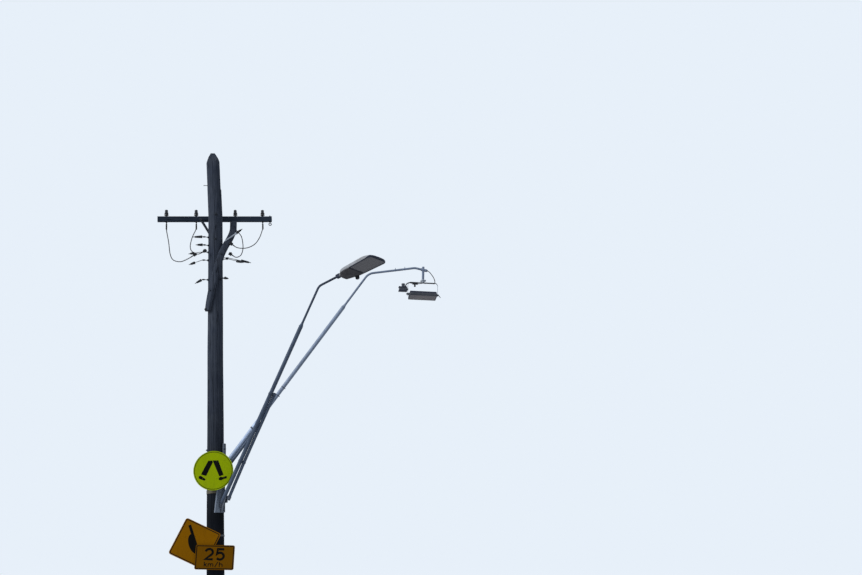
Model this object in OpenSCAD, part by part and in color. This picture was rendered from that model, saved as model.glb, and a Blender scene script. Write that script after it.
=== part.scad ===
// Timber street pole with crossarm, two outreach lights and road signs
// Origin at the centre of the foot at ground level, +Z up the pole
// +X runs along the crossarm, -Y faces the road

/* [Pole] */
// Height of the pole above the ground
pole_h = 10550; // [9500:10:11500]
// Diameter at the ground
pole_d0 = 352; // [320:1:400]
// Diameter under the cut top
pole_d1 = 282; // [260:1:300]
// Height at which the top starts to lean
lean_z = 9150; // [9000:10:9300]
// Lean of the top, in degrees
lean_deg = 2.2; // [0:0.1:4]
// Width of the flat left on the cut top
top_flat = 88; // [60:1:140]
// Height of the four sloping cuts
top_cut_h = 215; // [120:5:240]
// Depth of the old crossarm seat on the right of the top
old_seat = 13; // [5:1:25]

/* [Crossarm] */
// Length of the crossarm
arm_len = 2342; // [2200:1:2500]
// Height of its section
arm_h = 105; // [90:1:120]
// Thickness of its section
arm_t = 82; // [70:1:100]
// Height of its centre above the ground
arm_z = 9155; // [9000:1:9250]
// Rise towards its right end, in degrees
arm_tilt = 0.8; // [0:0.1:2]
// Depth of the flat seat cut in the pole for it
arm_seat = 12; // [5:1:20]
// Diameter of the insulator pins
pin_d = 20; // [16:1:22]

/* [Timber strut] */
// Width of the bowed timber strut
strut_w = 142; // [110:1:150]
// Thickness of the bowed timber strut
strut_t = 96; // [70:1:110]

/* [Light brackets] */
// Height of the bottom of the lower bracket
chan_z = 3105; // [3060:1:3200]
// Length of the lower bracket
chan_len = 640; // [600:5:700]
// Width of the lower bracket at its bottom
chan_w = 206; // [180:2:220]
// Depth of the lower bracket's flanges
chan_d = 52; // [40:1:60]
// Wall of both brackets
chan_wall = 6; // [4:1:8]
// Direction of the lower bracket, towards the road from +X
chan_az = 67; // [60:1:70]
// Lean of the lower bracket's left flange, in degrees
chan_lean = 7; // [0:0.5:9]
// Height of the bottom of the upper bracket
upper_z = 3770; // [3750:5:3800]
// Length of the upper bracket
upper_len = 665; // [640:5:700]
// Width of the upper bracket
upper_w = 130; // [110:2:150]
// Depth of the upper bracket's flanges
upper_d = 20; // [18:1:40]

/* [Outreach arms] */
// Outside diameter of the lower tubes
tube_d = 60.3; // [48.3:0.1:63]
// Outside diameter of the upper tubes
tip_d = 42.4; // [38:0.1:44]
// Wall of the tubes
tube_wall = 3.6; // [2.6:0.1:4.5]
// Direction of the street light's arm, towards the road from +X
a_az = 50; // [48:1:52]
// Rise of that arm, in degrees
a_rise = 53.5; // [52:0.1:56]
// Length of that arm's lower tube
a_low = 3783; // [3600:1:3900]
// Length of that arm's upper tube up to the bend
a_up = 834; // [800:1:900]
// Direction of the floodlight's arm, towards the road from +X
b_az = 20; // [18:1:22]
// Rise of that arm, in degrees
b_rise = 50.1; // [48:0.1:52]
// Length of that arm's lower tube
b_low = 3817; // [3700:1:4000]
// Length of that arm's upper tube up to the bend
b_up = 842; // [700:1:900]
// Length of that arm's tip between its two bends
b_tip = 943; // [800:1:1250]

/* [Signs] */
// Diameter of the round sign
disc_d = 750; // [600:1:800]
// Height of the round sign's centre
disc_z = 3888; // [3800:1:3950]
// Side of the diamond sign
diamond_w = 722; // [700:1:760]
// Width of the speed plate
plate_w = 722; // [700:1:760]
// Height of the speed plate
plate_h = 452; // [440:1:480]
// Thickness of the sign sheets
sheet = 3; // [2:0.5:4]

/* [Street light] */
// Length of the street light's housing
lamp_len = 960; // [900:5:1000]
// Width of the street light's housing
lamp_w = 446; // [420:2:470]
// Depth of the street light's housing
lamp_h = 96; // [80:1:120]

/* [Floodlight] */
// Width of the floodlight's body
flood_w = 508; // [440:2:540]
// Depth of the floodlight's body, front to back
flood_l = 330; // [300:5:360]
// Thickness of the floodlight's body
flood_h = 84; // [60:1:100]
// Tilt of the floodlight's glass from level, towards the road, in degrees
flood_tilt = 3; // [0:1:20]

/* [Hidden] */
$fn = 32;

// Radius of the straight shaft at a height
function pole_r(z) = (pole_d0 + (pole_d1 - pole_d0) * z / pole_h) / 2;
// Slow sideways wander of the pole's centre line, as [height, offset] pairs
wander = [[0, 0], [1500, 3], [3100, -2], [4800, 2], [6300, -3], [7700, 1], [lean_z, 0], [12000, 0]];
// Sideways place of the pole's centre line at a height
function pole_x(z) = lookup(z, wander) - max(0, z - lean_z) * tan(lean_deg);
// Points of a circle, as [x, y] pairs
function ring(r, n) = [for (i = [0 : n - 1]) [r * cos(360 * i / n), r * sin(360 * i / n)]];
function unit(v) = v / norm(v);
// Point of a smooth curve through p at stretch i and fraction t
function curve_at(p, i, t) =
    let (n = len(p), a = p[max(i - 1, 0)], b = p[i], c = p[min(i + 1, n - 1)], d = p[min(i + 2, n - 1)])
    0.5 * (2 * b + (c - a) * t + (2 * a - 5 * b + 4 * c - d) * t * t + (3 * b - a - 3 * c + d) * t * t * t);
function smooth(p, k) =
    [for (i = [0 : len(p) - 2], j = [0 : k - 1]) curve_at(p, i, j / k), p[len(p) - 1]];

// Faces of a skin over m rings of n points, with both ends closed
function skin_faces(m, n) = concat(
    [[for (j = [0 : n - 1]) j]],
    [for (i = [0 : m - 2], j = [0 : n - 1])
        [i * n + j, (i + 1) * n + j, (i + 1) * n + (j + 1) % n]],
    [for (i = [0 : m - 2], j = [0 : n - 1])
        [i * n + j, (i + 1) * n + (j + 1) % n, i * n + (j + 1) % n]],
    [[for (j = [0 : n - 1]) (m - 1) * n + n - 1 - j]]);

// Rings of a section swept along a path, with the first and last ring square to d0 and d1
function swept(path, r, n, d0, d1) =
    let (m = len(path))
    [for (i = [0 : m - 1])
        let (t = i == 0 ? d0 : i == m - 1 ? d1 : unit(path[i + 1] - path[i - 1]),
             side = unit(cross(t, abs(t[1]) < 0.9 ? [0, 1, 0] : [1, 0, 0])),
             up = cross(t, side))
        for (j = [0 : n - 1]) path[i] + r * (side * cos(360 * j / n) + up * sin(360 * j / n))];
// Way that a cable leaves its last point
function end_way(p) = unit(p[len(p) - 1] - p[len(p) - 2]);
// Round cable along a smooth curve through the points
module cable(points, r, d0, d1, k = 4, n = 10) {
    path = smooth(points, k);
    polyhedron(swept(path, r, n, d0, d1), skin_faces(len(path), n), convexity = 10);
}

// Tube open at both ends, along +X from the origin
module tube_x(length, d, wall) {
    rotate([0, 90, 0]) difference() {
        cylinder(h = length, d = d);
        translate([0, 0, -1]) cylinder(h = length + 2, d = d - 2 * wall);
    }
}

// Stations of a bar bent down in the XZ plane, each its x, its z and how far the bar has turned,
// from its corners, each [length up to it, turn, bend radius], the last with no turn
function bent_stations(x, z, a, legs, i = 0) =
    let (leg = legs[i], corner = [x + leg[0] * cos(a), z - leg[0] * sin(a)])
    i == len(legs) - 1 ? [[corner[0], corner[1], a]]
    : let (back = leg[2] * tan(leg[1] / 2), steps = ceil(leg[1] / 7))
        concat(
            [for (k = [0 : steps]) let (b = leg[1] * k / steps, u = leg[2] * sin(b) - back, v = leg[2] * (1 - cos(b)))
                [corner[0] + u * cos(a) - v * sin(a), corner[1] - u * sin(a) - v * cos(a), a + b]],
            bent_stations(corner[0], corner[1], a + leg[1], legs, i + 1));
// Solid bar along such stations, starting at x on the X axis
module bent_bar(start, legs, d, n = 20) {
    stations = concat([[start, 0, 0]], bent_stations(0, 0, 0, legs));
    rings = [for (s = stations, p = ring(d / 2, n))
        [s[0] + p[1] * sin(s[2]), p[0], s[1] + p[1] * cos(s[2])]];
    polyhedron(rings, skin_faces(len(stations), n), convexity = 6);
}

// Hexagon head or nut standing on the XY plane
module hex(across, h) {
    cylinder(h = h, d = across / cos(30), $fn = 6);
}

// Length of the bare tapered shaft between two heights
pole_sides = 40;
module pole_slice(z0, z1, gap = 0) {
    heights = concat([z0], [for (w = wander) if (w[0] > z0 && w[0] < z1) w[0]], [z1]);
    points = [for (z = heights, p = ring(pole_r(z) + gap, pole_sides)) [pole_x(z) + p[0], p[1], z]];
    polyhedron(points, skin_faces(len(heights), pole_sides), convexity = 6);
}
// Plane of the crossarm's seat, and of the seat of its brace
seat_y = pole_r(arm_z) - arm_seat;
brace_z = 8620;
brace_seat = 4;
brace_y = pole_r(brace_z) - brace_seat;
old_seat_z = 9740;

// Pole: crooked tapered timber with four sloping cuts and flat seats
module pole_shaft() {
    color("#4e4a46") difference() {
        pole_slice(0, pole_h);
        // Sloping cuts on the four sides of the top
        translate([pole_x(pole_h), 0, pole_h]) rotate([0, -lean_deg, 0])
            for (a = [0 : 90 : 270])
                rotate([0, 0, a]) translate([top_flat / 2, 0, 0])
                    rotate([0, -atan2((pole_d1 - top_flat) / 2, top_cut_h), 0])
                        translate([0, -300, -600]) cube([400, 600, 800]);
        // Old crossarm seat on the right of the top
        translate([pole_x(old_seat_z) + pole_r(old_seat_z) - old_seat, -200, old_seat_z])
            rotate([0, -lean_deg, 0]) cube([60, 400, 900]);
        // Seat of the crossarm on the far side
        translate([-200, seat_y, arm_z - arm_h / 2 - 4]) cube([400, 60, arm_h + 8]);
        // Seat of the brace's foot
        translate([-90, brace_y, brace_z - 45]) cube([140, 40, 150]);
    }
}

module top_nail() {
    color("dimgray") translate([-pole_r(9830) - 6, 0, 9834]) rotate([0, -88, 0]) union() {
        cylinder(h = 84, d = 12, $fn = 16);
        translate([0, 0, 84]) cylinder(h = 8, d = 24, $fn = 16);
    }
}

// Frame of the crossarm: origin at its centre, X along it
arm_y = seat_y + arm_t / 2;
arm_x = -4;
module at_arm() {
    translate([arm_x, arm_y, arm_z]) rotate([0, -arm_tilt, 0]) children();
}
// Place of a point of that frame, and its downward way
function arm_point(x, z) =
    [arm_x + x * cos(arm_tilt) - z * sin(arm_tilt), arm_y, arm_z + x * sin(arm_tilt) + z * cos(arm_tilt)];
arm_down = [sin(arm_tilt), 0, -cos(arm_tilt)];
pin_x = [-991, -388, 414, 980];

module crossarm() {
    color("#3f3b37") at_arm() difference() {
        translate([-arm_len / 2, -arm_t / 2, -arm_h / 2]) cube([arm_len, arm_t, arm_h]);
        for (x = pin_x) translate([x, 0, -arm_h]) cylinder(h = 2 * arm_h, d = pin_d + 0.4);
        translate([arm_len / 2 - 38, 0, -arm_h]) cylinder(h = 2 * arm_h, d = pin_d + 0.4);
        // Weather chamfers along the two top edges
        for (s = [-1, 1]) translate([0, s * arm_t / 2, arm_h / 2]) rotate([45, 0, 0])
            cube([arm_len + 2, 10, 10], center = true);
    }
}

// Flat steel brace, joggled from the crossarm's near face to its seat on the pole
brace_out = 300;
brace_t = 6;
brace_w = 50;
module crossarm_brace() {
    rise_z = arm_z - 22 - brace_z;
    length = norm([brace_out, rise_z]);
    upper_y = seat_y - brace_t;
    color("#3a3f46") translate([0, 0, brace_z]) rotate([0, atan2(rise_z, brace_out) - 180, 0])
        difference() {
            // Strap seen on edge: along it, and across the crossarm
            translate([0, 0, -brace_w / 2]) linear_extrude(brace_w) polygon([
                [-32, brace_y], [150, brace_y], [330, upper_y], [length + 32, upper_y],
                [length + 32, upper_y + brace_t], [332, upper_y + brace_t],
                [152, brace_y + brace_t], [-32, brace_y + brace_t]
            ]);
            for (x = [0, length]) translate([x, 0, 0]) rotate([-90, 0, 0]) cylinder(h = 400, d = 14);
        }
}

// Bowed timber strut from the crossarm's right half across the front of the pole
strut_path = [
    [374, 178, 9175], [370, 152, 9100], [357, 60, 8861], [294, -40, 8662], [186, -138, 8433],
    [84, -186, 8170], [-14, -184, 7788], [-80, -162, 7501], [-130, -124, 7240], [-148, -102, 7080],
    [-152, -94, 6980]
];
strut_foot = 7104;
module strut_body() {
    n = 16;
    path = smooth(strut_path, 2);
    m = len(path);
    // Rounded rectangle section, flat side towards the pole
    section = [for (j = [0 : n - 1]) let (a = 360 * j / n)
        [strut_w / 2 * sign(cos(a)) * pow(abs(cos(a)), 0.6), strut_t / 2 * sign(sin(a)) * pow(abs(sin(a)), 0.6)]];
    rings = [for (i = [0 : m - 1])
        let (t = unit(path[min(i + 1, m - 1)] - path[max(i - 1, 0)]),
             out = unit([min(path[i][0], 0) * 1.5, -150, 0]),
             side = unit(cross(out, t)),
             face = cross(t, side))
        for (p = section) path[i] + side * p[0] + face * p[1]];
    polyhedron(rings, skin_faces(m, n), convexity = 6);
}
module timber_strut() {
    color("#45403b") difference() {
        strut_body();
        // Housed over the round of the pole, cut square under the crossarm and at the foot
        pole_slice(6900, 9300);
        at_arm() translate([0, -200, -arm_h / 2]) cube([800, 500, 400]);
        translate([-400, -300, strut_foot - 200]) cube([900, 600, 200]);
        // Notch on the far side for the pin's nut and its cable
        translate([372, 140, 8800]) cube([200, 200, 400]);
    }
}

// Galvanised strain rod from the front of the strut out to its clamp
rod_at = [186, -128, 8568];
rod_end = [420, -112, 8752];
rod_len = norm(rod_end - rod_at);
module at_rod() {
    way = rod_end - rod_at;
    translate(rod_at) rotate([0, -asin(way[2] / rod_len), atan2(way[1], way[0])]) children();
}
module strain_rod() {
    color("#9b9a96") difference() {
        at_rod() {
            rotate([0, 90, 0]) cylinder(h = rod_len, d = 26);
            translate([rod_len - 20, -22, -22]) cube([20, 44, 44]);
        }
        strut_body();
    }
}

// Pin with its collar, washer and nut
module insulator_pin() {
    translate([0, 0, -arm_h / 2 - pin_tail]) cylinder(h = arm_h + pin_tail + 92, d = pin_d);
    translate([0, 0, arm_h / 2]) cylinder(h = 12, d = 46);
    translate([0, 0, -arm_h / 2 - 6]) cylinder(h = 6, d = 56);
    translate([0, 0, -arm_h / 2 - 24]) hex(32, 18);
}
module insulator_pins() {
    color("#2e3136") at_arm() for (x = pin_x) translate([x, 0, 0]) insulator_pin();
}

// Pin insulator: a bell with two skirts, a side groove and a crown
module insulator() {
    rotate_extrude() polygon([
        [13, 0], [36, 0], [46, 8], [44, 20], [33, 30], [33, 36], [42, 42], [42, 54],
        [31, 66], [27, 78], [31, 92], [33, 104], [29, 118], [18, 126], [0, 128],
        [0, 66], [10, 66], [10, 22], [13, 12]
    ]);
}
module insulators() {
    color("#23262b") at_arm() for (x = pin_x) translate([x, 0, arm_h / 2 + 26]) insulator();
}

// Eye bolt under the right end of the crossarm
module end_eye() {
    color("#30343a") at_arm() translate([arm_len / 2 - 38, 0, 0]) {
        translate([0, 0, -arm_h / 2 - 34]) cylinder(h = arm_h + 60, d = pin_d);
        translate([0, 0, arm_h / 2]) hex(32, 16);
        translate([0, 0, -arm_h / 2 - 8]) cylinder(h = 8, d = 56);
        translate([0, 0, -arm_h / 2 - 60]) rotate([90, 0, 0]) rotate_extrude()
            translate([26, 0]) circle(d = 16);
    }
}

// Service hook: a threaded shank bent into an eye, radially out of the pole at height z
hook_reach = 92;
eye_r = 26;
eye_d = 15;
module at_pole(z, az) {
    translate([pole_x(z), 0, z]) rotate([0, 0, az]) translate([pole_r(z), 0, 0]) children();
}
module hook_eye() {
    translate([hook_reach, 0, 0]) rotate_extrude() translate([eye_r, 0]) circle(d = eye_d);
}
module service_hook() {
    translate([-8, 0, 0]) rotate([0, 90, 0]) {
        cylinder(h = 14, d = 50);
        cylinder(h = 28, d = 32 / cos(30), $fn = 6);
        cylinder(h = hook_reach - eye_r + 8, d = eye_d);
    }
    hook_eye();
}
// Height and direction of each hook, then droop, lead and clamp length of what it holds
hooks = [
    [8680, 198, 8, 20, 150], [8500, 202, 8, 20, 100], [8356, 196, 14, 180, 80], [8188, 192, 24, 170, 90],
    [7776, 188, 32, 20, 110],
    [8262, 8, 10, 262, 165], [8205, -18, 19, 190, 110], [7765, -48, 20, 16, 70]
];
module service_hooks() {
    color("#2c3036") difference() {
        for (h = hooks) at_pole(h[0], h[1]) service_hook();
        pole_slice(7500, 8900);
    }
}

// Wedge clamp that hangs from a hook's eye by a lead
module strain_clamp(lead, length) {
    rotate([0, 90, 0]) {
        cylinder(h = lead + 4, d = 12);
        translate([0, 0, lead]) cylinder(h = length, d1 = 58, d2 = 36);
        translate([0, 0, lead + length]) cylinder(h = 40, d = 15);
    }
}
module strain_clamps() {
    color("#1d1f23") {
        for (h = hooks) at_pole(h[0], h[1]) difference() {
            translate([hook_reach + eye_r, 0, 0]) rotate([0, h[2], 0]) strain_clamp(h[3], h[4]);
            hook_eye();
            // Nothing of the lead reaches inside the eye
            translate([0, -20, -20]) cube([hook_reach + eye_r, 40, 40]);
        }
        at_rod() translate([rod_len, 0, 0]) strain_clamp(0, 120);
    }
}

// Insulated bridging cables from under the insulators to the connectors at the pole
jumper_r = 9;
pin_tail = 62;
function pin_end(i) = arm_point(pin_x[i], -arm_h / 2 - pin_tail);
function jumper_route(i, rest) = concat([pin_end(i), pin_end(i) + 40 * arm_down], rest);
jumper_routes = [
    jumper_route(0, [[-985, 130, 8860], [-940, 60, 8600], [-905, 0, 8330], [-840, -40, 8190], [-700, -50, 8150],
        [-560, -40, 8210], [-440, -36, 8290]]),
    jumper_route(1, [[-400, 130, 8900], [-470, 40, 8700], [-505, -50, 8480], [-465, -158, 8335],
        [-345, -192, 8270], [-240, -176, 8330]]),
    jumper_route(2, [[438, 196, 8910], [530, 120, 8760], [560, 30, 8500], [520, 20, 8330], [420, 10, 8270],
        [330, 0, 8320]]),
    jumper_route(3, [[960, 140, 8900], [900, 70, 8720], [800, 10, 8560], [640, -40, 8460], [450, -100, 8440],
        [340, -160, 8490]])
];
module jumper_cables() {
    color("#17191c") for (p = jumper_routes) cable(p, jumper_r, arm_down, end_way(p));
}

// Piercing connector on the end of each bridging cable
module connector() {
    translate([0, -20, -26]) cube([68, 40, 52]);
    translate([34, 0, 26]) hex(19, 16);
}
module cable_connectors() {
    color("#16181b") for (p = jumper_routes)
        let (w = end_way(p))
            translate(p[len(p) - 1]) rotate([0, -asin(w[2]), atan2(w[1], w[0])]) connector();
}

// Frame on the pole's axis turned to az: X outwards, Y across to the right
module at_bracket(az, z) {
    rotate([0, 0, -az]) translate([0, 0, z]) children();
}
chan_x = pole_r(chan_z) + 6;
upper_x = pole_r(upper_z) + 6;
// How far the leaning flange comes in at the top of the lower bracket
chan_in = chan_len * tan(chan_lean);
bolt_d = 22;
bolt_inset = 110;
// Tapered channel along Z, its back at x, drawn in on the left by lean at its top
module tapered_channel(x, w, d, length, lean) {
    difference() {
        translate([x, 0, 0]) rotate([90, 0, 90]) linear_extrude(d)
            polygon([[-w / 2, 0], [w / 2, 0], [w / 2, length], [lean - w / 2, length]]);
        translate([x + chan_wall, 0, 0]) rotate([90, 0, 90]) linear_extrude(d)
            polygon([
                [chan_wall - w / 2 - lean / length, -1], [w / 2 - chan_wall, -1],
                [w / 2 - chan_wall, length + 1], [lean + chan_wall - w / 2 + lean / length, length + 1]
            ]);
        for (z = [bolt_inset, length - bolt_inset]) translate([x - 1, lean / 4, z]) rotate([0, 90, 0])
            cylinder(h = chan_wall + 2, d = bolt_d);
    }
}
// Lower bracket, folded from plate, carries the street light's arm
module lower_bracket() {
    color("#8f989f") at_bracket(chan_az, chan_z)
        tapered_channel(chan_x, chan_w, chan_d, chan_len, chan_in);
}
// Upper bracket on the right side of the pole carries the floodlight's arm
module upper_bracket() {
    color("#99a2a9") at_bracket(b_az, upper_z) tapered_channel(upper_x, upper_w, upper_d, upper_len, 0);
}
// Saddle block between a bracket and the round of the pole, bored for its bolt
saddle_t = 60;
module bracket_saddle(x, w, y) {
    difference() {
        translate([x - saddle_t, y - w / 2, -40]) cube([saddle_t, w, 80]);
        translate([x - saddle_t - 1, y, 0]) rotate([0, 90, 0]) cylinder(h = saddle_t + 2, d = bolt_d);
    }
}
module bracket_saddles() {
    color("#7f888f") difference() {
        union() {
            for (z = [bolt_inset, chan_len - bolt_inset])
                at_bracket(chan_az, chan_z + z) bracket_saddle(chan_x, 120, chan_in / 4);
            for (z = [bolt_inset, upper_len - bolt_inset])
                at_bracket(b_az, upper_z + z) bracket_saddle(upper_x, 90, 0);
        }
        pole_slice(chan_z, upper_z + upper_len);
    }
}

// Local frames of the arms: X outwards along the tube, Z up
a_foot = [114.3, -174.4, 3280.5];
b_foot = [181.3, -91.2, 4014.4];
a_bend_r = 160;
b_bend_r = 220;
// Rise of the tips, in degrees, and length of the street light's tip past its corner
a_tip_rise = 9.3;
b_tip_rise = 1.3;
// Rise and length of the floodlight arm's drooping end, up to its tee
b_end_rise = -19.5;
b_end = 172;
a_tip = 514;
a_turn = a_rise - a_tip_rise;
b_turn = b_rise - b_tip_rise;
b_droop = b_tip_rise - b_end_rise;
reducer = 70;
module at_arm_a() {
    translate(a_foot) rotate([0, 0, -a_az]) rotate([0, -a_rise, 0]) children();
}
module at_arm_b() {
    translate(b_foot) rotate([0, 0, -b_az]) rotate([0, -b_rise, 0]) children();
}

// Lower tube with a swaged end that steps down to the upper tube
module lower_tube(length) {
    tube_x(length, tube_d, tube_wall);
    translate([length, 0, 0]) rotate([0, 90, 0]) rotate_extrude() polygon([
        [tube_d / 2 - tube_wall, 0], [tube_d / 2 + 3, 0], [tube_d / 2 + 3, 26], [tip_d / 2 + 3, reducer],
        [tip_d / 2, reducer], [tip_d / 2, 24], [tube_d / 2 - tube_wall, 10]
    ]);
}
// Upper tube with its bends, starting inside the reducer, from its legs as in bent_stations
module upper_tube(legs) {
    last = len(legs) - 1;
    inner = [for (i = [0 : last]) i == last ? [legs[i][0] + 1, 0, 0] : legs[i]];
    difference() {
        bent_bar(24, legs, tip_d);
        bent_bar(23, inner, tip_d - 2 * tube_wall);
    }
}
module lamp_arm_lower() {
    color("#6d747a") at_arm_a() lower_tube(a_low);
}
module lamp_arm_upper() {
    color("#646b72") at_arm_a() translate([a_low, 0, 0])
        upper_tube([[a_up, a_turn, a_bend_r], [a_tip, 0, 0]]);
}
module flood_arm_lower() {
    color("#8d959c") at_arm_b() lower_tube(b_low);
}
module flood_arm_upper() {
    color("#727a82") at_arm_b() translate([b_low, 0, 0])
        upper_tube([[b_up, b_turn, b_bend_r], [b_tip, b_droop, b_bend_r], [b_end, 0, 0]]);
}

// Stay tubes under the arms, from [start, end] in each arm's frame
a_stay = [[120, 74, -52], [1750, 50, -40]];
b_stay = [[-86, 0, -72], [1713, 0, -66]];
module at_stay(stay) {
    way = stay[1] - stay[0];
    translate(stay[0]) rotate([0, -atan2(way[2], norm([way[0], way[1]])), atan2(way[1], way[0])]) children();
}
module arm_stays() {
    color("#666d73") {
        at_arm_a() at_stay(a_stay) tube_x(norm(a_stay[1] - a_stay[0]), tube_d, tube_wall);
        at_arm_b() at_stay(b_stay) tube_x(norm(b_stay[1] - b_stay[0]), tube_d, tube_wall);
    }
}
// Solid bar along X
module bar_x(x, length, d) {
    translate([x, 0, 0]) rotate([0, 90, 0]) cylinder(h = length, d = d);
}

// Feet welded in the brackets round the ends of the tubes, and the lug of the outer stay
collar_d = tube_d + 14;
// Room inside a bracket, in front of its back plate
module in_bracket(az, x, w, z0, z1) {
    at_bracket(az, z0) translate([x + chan_wall, chan_wall - w / 2, 0]) cube([300, w - 2 * chan_wall, z1 - z0]);
}
module arm_feet() {
    color("#7f888f") {
        difference() {
            intersection() {
                union() {
                    at_arm_a() bar_x(-150, 200, collar_d);
                    // Gusset plate under the tube
                    translate(a_foot) rotate([0, 0, -a_az]) rotate([90, 0, 0])
                        linear_extrude(12, center = true)
                            polygon([[-80, -165], [25, -165], [150, 160], [150, 203], [-80, -108]]);
                }
                in_bracket(chan_az, chan_x, chan_w, chan_z, chan_z + 500);
            }
            at_arm_a() bar_x(0, 500, tube_d);
        }
        difference() {
            intersection() {
                at_arm_b() {
                    bar_x(-150, 200, collar_d);
                    at_stay(b_stay) bar_x(-100, 150, collar_d);
                }
                in_bracket(b_az, upper_x, upper_w, upper_z, upper_z + 500);
            }
            at_arm_b() {
                bar_x(0, 400, tube_d);
                at_stay(b_stay) bar_x(0, 400, tube_d);
            }
        }
        difference() {
            union() {
                at_arm_a() at_stay(a_stay) bar_x(-10, 70, collar_d);
                at_bracket(chan_az, 3280) translate([180, chan_w / 2, 0]) cube([140, 10, 130]);
            }
            at_arm_a() at_stay(a_stay) bar_x(0, 200, tube_d);
        }
    }
}

// Block bored for both tubes that clips a stay to its arm at x
clamp_w = 30;
clamp_wall = 5;
module stay_clamp(stay, x) {
    off = stay[0] + (x - stay[0][0]) / (stay[1][0] - stay[0][0]) * (stay[1] - stay[0]);
    thick = tube_d + 2 * clamp_wall;
    difference() {
        translate([x, 0, 0]) rotate([atan2(off[2], off[1]), 0, 0]) translate([0, -thick / 2, -thick / 2])
            cube([clamp_w, norm([off[1], off[2]]) + thick, thick]);
        bar_x(x - 20, clamp_w + 40, tube_d);
        at_stay(stay) bar_x(x - stay[0][0] - 40, clamp_w + 80, tube_d);
    }
}
module stay_clamps() {
    color("#3a3f45") {
        at_arm_a() for (x = [900, 1640]) stay_clamp(a_stay, x);
        at_arm_b() for (x = [858, 1649]) stay_clamp(b_stay, x);
    }
}

// Street light, in a frame at the end of its arm: X outwards along the light
lamp_roll = -4;
module at_lamp() {
    at_arm_a() translate([a_low + a_up, 0, 0]) rotate([0, a_turn, 0]) translate([a_tip, 0, 0])
        rotate([lamp_roll, 0, 0]) children();
}
// Half of the plan outline, as [x, y] pairs from the neck to the nose
lamp_x = 40;
function lamp_half(w) = [
    [lamp_x, 38], [90, 70], [180, 0.34 * w], [260, 0.41 * w], [330, 0.44 * w], [440, 0.46 * w],
    [lamp_x + lamp_len - 100, w / 2], [lamp_x + lamp_len - 60, w / 2 - 5], [lamp_x + lamp_len - 34, w / 2 - 24],
    [lamp_x + lamp_len - 16, w / 2 - 64], [lamp_x + lamp_len - 5, w / 4], [lamp_x + lamp_len, 0]
];
function lamp_outline(w) =
    let (h = lamp_half(w))
    concat([for (p = h) [p[0], -p[1]]], [for (i = [len(h) - 2 : -1 : 0]) h[i]]);
// Part of the outline between two stations, drawn in by an inset
module lamp_plan(x0, x1, inset = 0) {
    intersection() {
        polygon([for (p = lamp_outline(lamp_w - 2 * inset)) [min(p[0], lamp_x + lamp_len - inset), p[1]]]);
        translate([x0, -lamp_w]) square([x1 - x0, 2 * lamp_w]);
    }
}
module lamp_spigot_clamp() {
    color("#5c6268") at_lamp() difference() {
        translate([-48, -34, -32]) cube([lamp_x + 48, 68, 62]);
        translate([-53, 0, 0]) rotate([0, 90, 0]) cylinder(h = 100, d = tip_d);
    }
}
// Height of the light's underside, and where its gear door ends
lens_z = -73;
door_x = 438;
// Whole envelope of the housing, deep over the lens and rising to the neck
module lamp_envelope() {
    hull() {
        translate([0, 0, lens_z]) linear_extrude(50) lamp_plan(door_x, 2000);
        translate([0, 0, -46]) linear_extrude(26) lamp_plan(180, door_x);
        translate([0, 0, -30]) linear_extrude(42) lamp_plan(lamp_x, 120);
        translate([60, 0, lens_z + lamp_h - 6]) scale([0.88, 0.7, 1]) linear_extrude(6) lamp_plan(200, 2000);
    }
}
module lamp_housing() {
    color("#9da3a8") at_lamp() difference() {
        lamp_envelope();
        translate([0, 0, lens_z - 1]) linear_extrude(15) lamp_plan(door_x + 8, 2000, 12);
    }
}
// Gear door, dished downwards between the neck and the lens
module door_dish() {
    hull() {
        translate([0, 0, lens_z - 6]) linear_extrude(20) lamp_plan(330, door_x - 2, 8);
        translate([0, 0, -56]) linear_extrude(20) lamp_plan(150, 300, 8);
        translate([70, -34, -38]) cube([40, 68, 10]);
        for (s = [-1, 1]) translate([0, 44 * s, -107]) {
            translate([150, 0, 0]) cylinder(h = 6, r = 24);
            translate([268, 0, 0]) cylinder(h = 6, r = 24);
        }
    }
}
module lamp_gear_door() {
    color("#6c6965") at_lamp() difference() {
        door_dish();
        lamp_envelope();
    }
}
module lamp_lens() {
    color("#8b8b88") at_lamp() translate([0, 0, lens_z + 2]) linear_extrude(12) lamp_plan(door_x + 8, 2000, 12);
}
// Sensor that hangs from the gear door
module lamp_sensor() {
    color("#22262b") at_lamp() difference() {
        translate([306, 158, -134]) {
            cylinder(h = 80, d = 74);
            translate([0, 0, -8]) cylinder(h = 8, d1 = 56, d2 = 74);
        }
        // Bedded on the underside
        hull() {
            door_dish();
            translate([0, 0, 60]) door_dish();
        }
        lamp_envelope();
    }
}

// Floodlight's tee, in a frame near the end of its arm whose Z runs up the drop pipe
drop_lean = 4.5;
tee_turn = b_end_rise + drop_lean;
module at_tee() {
    at_arm_b() translate([b_low + b_up, 0, 0]) rotate([0, b_turn, 0]) translate([b_tip, 0, 0])
        rotate([0, b_droop, 0]) translate([b_end, 0, 0]) rotate([0, tee_turn, 0]) children();
}
drop_len = 200;
drop_d = 48.3;
tee_left = 46;
tee_right = 76;
module flood_arm_tee() {
    color("#7a828a") at_tee() difference() {
        union() {
            rotate([0, 90 - tee_turn, 0]) translate([0, 0, -tee_left]) cylinder(h = tee_left + tee_right, d = tip_d + 12);
            translate([0, 0, -drop_len]) cylinder(h = drop_len + 62, d = drop_d);
        }
        rotate([0, 90 - tee_turn, 0]) translate([0, 0, -tee_left - 4]) cylinder(h = tee_left + 4, d = tip_d);
        translate([0, 0, -drop_len - 1]) cylinder(h = drop_len - 40, d = drop_d - 2 * tube_wall);
    }
}
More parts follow.
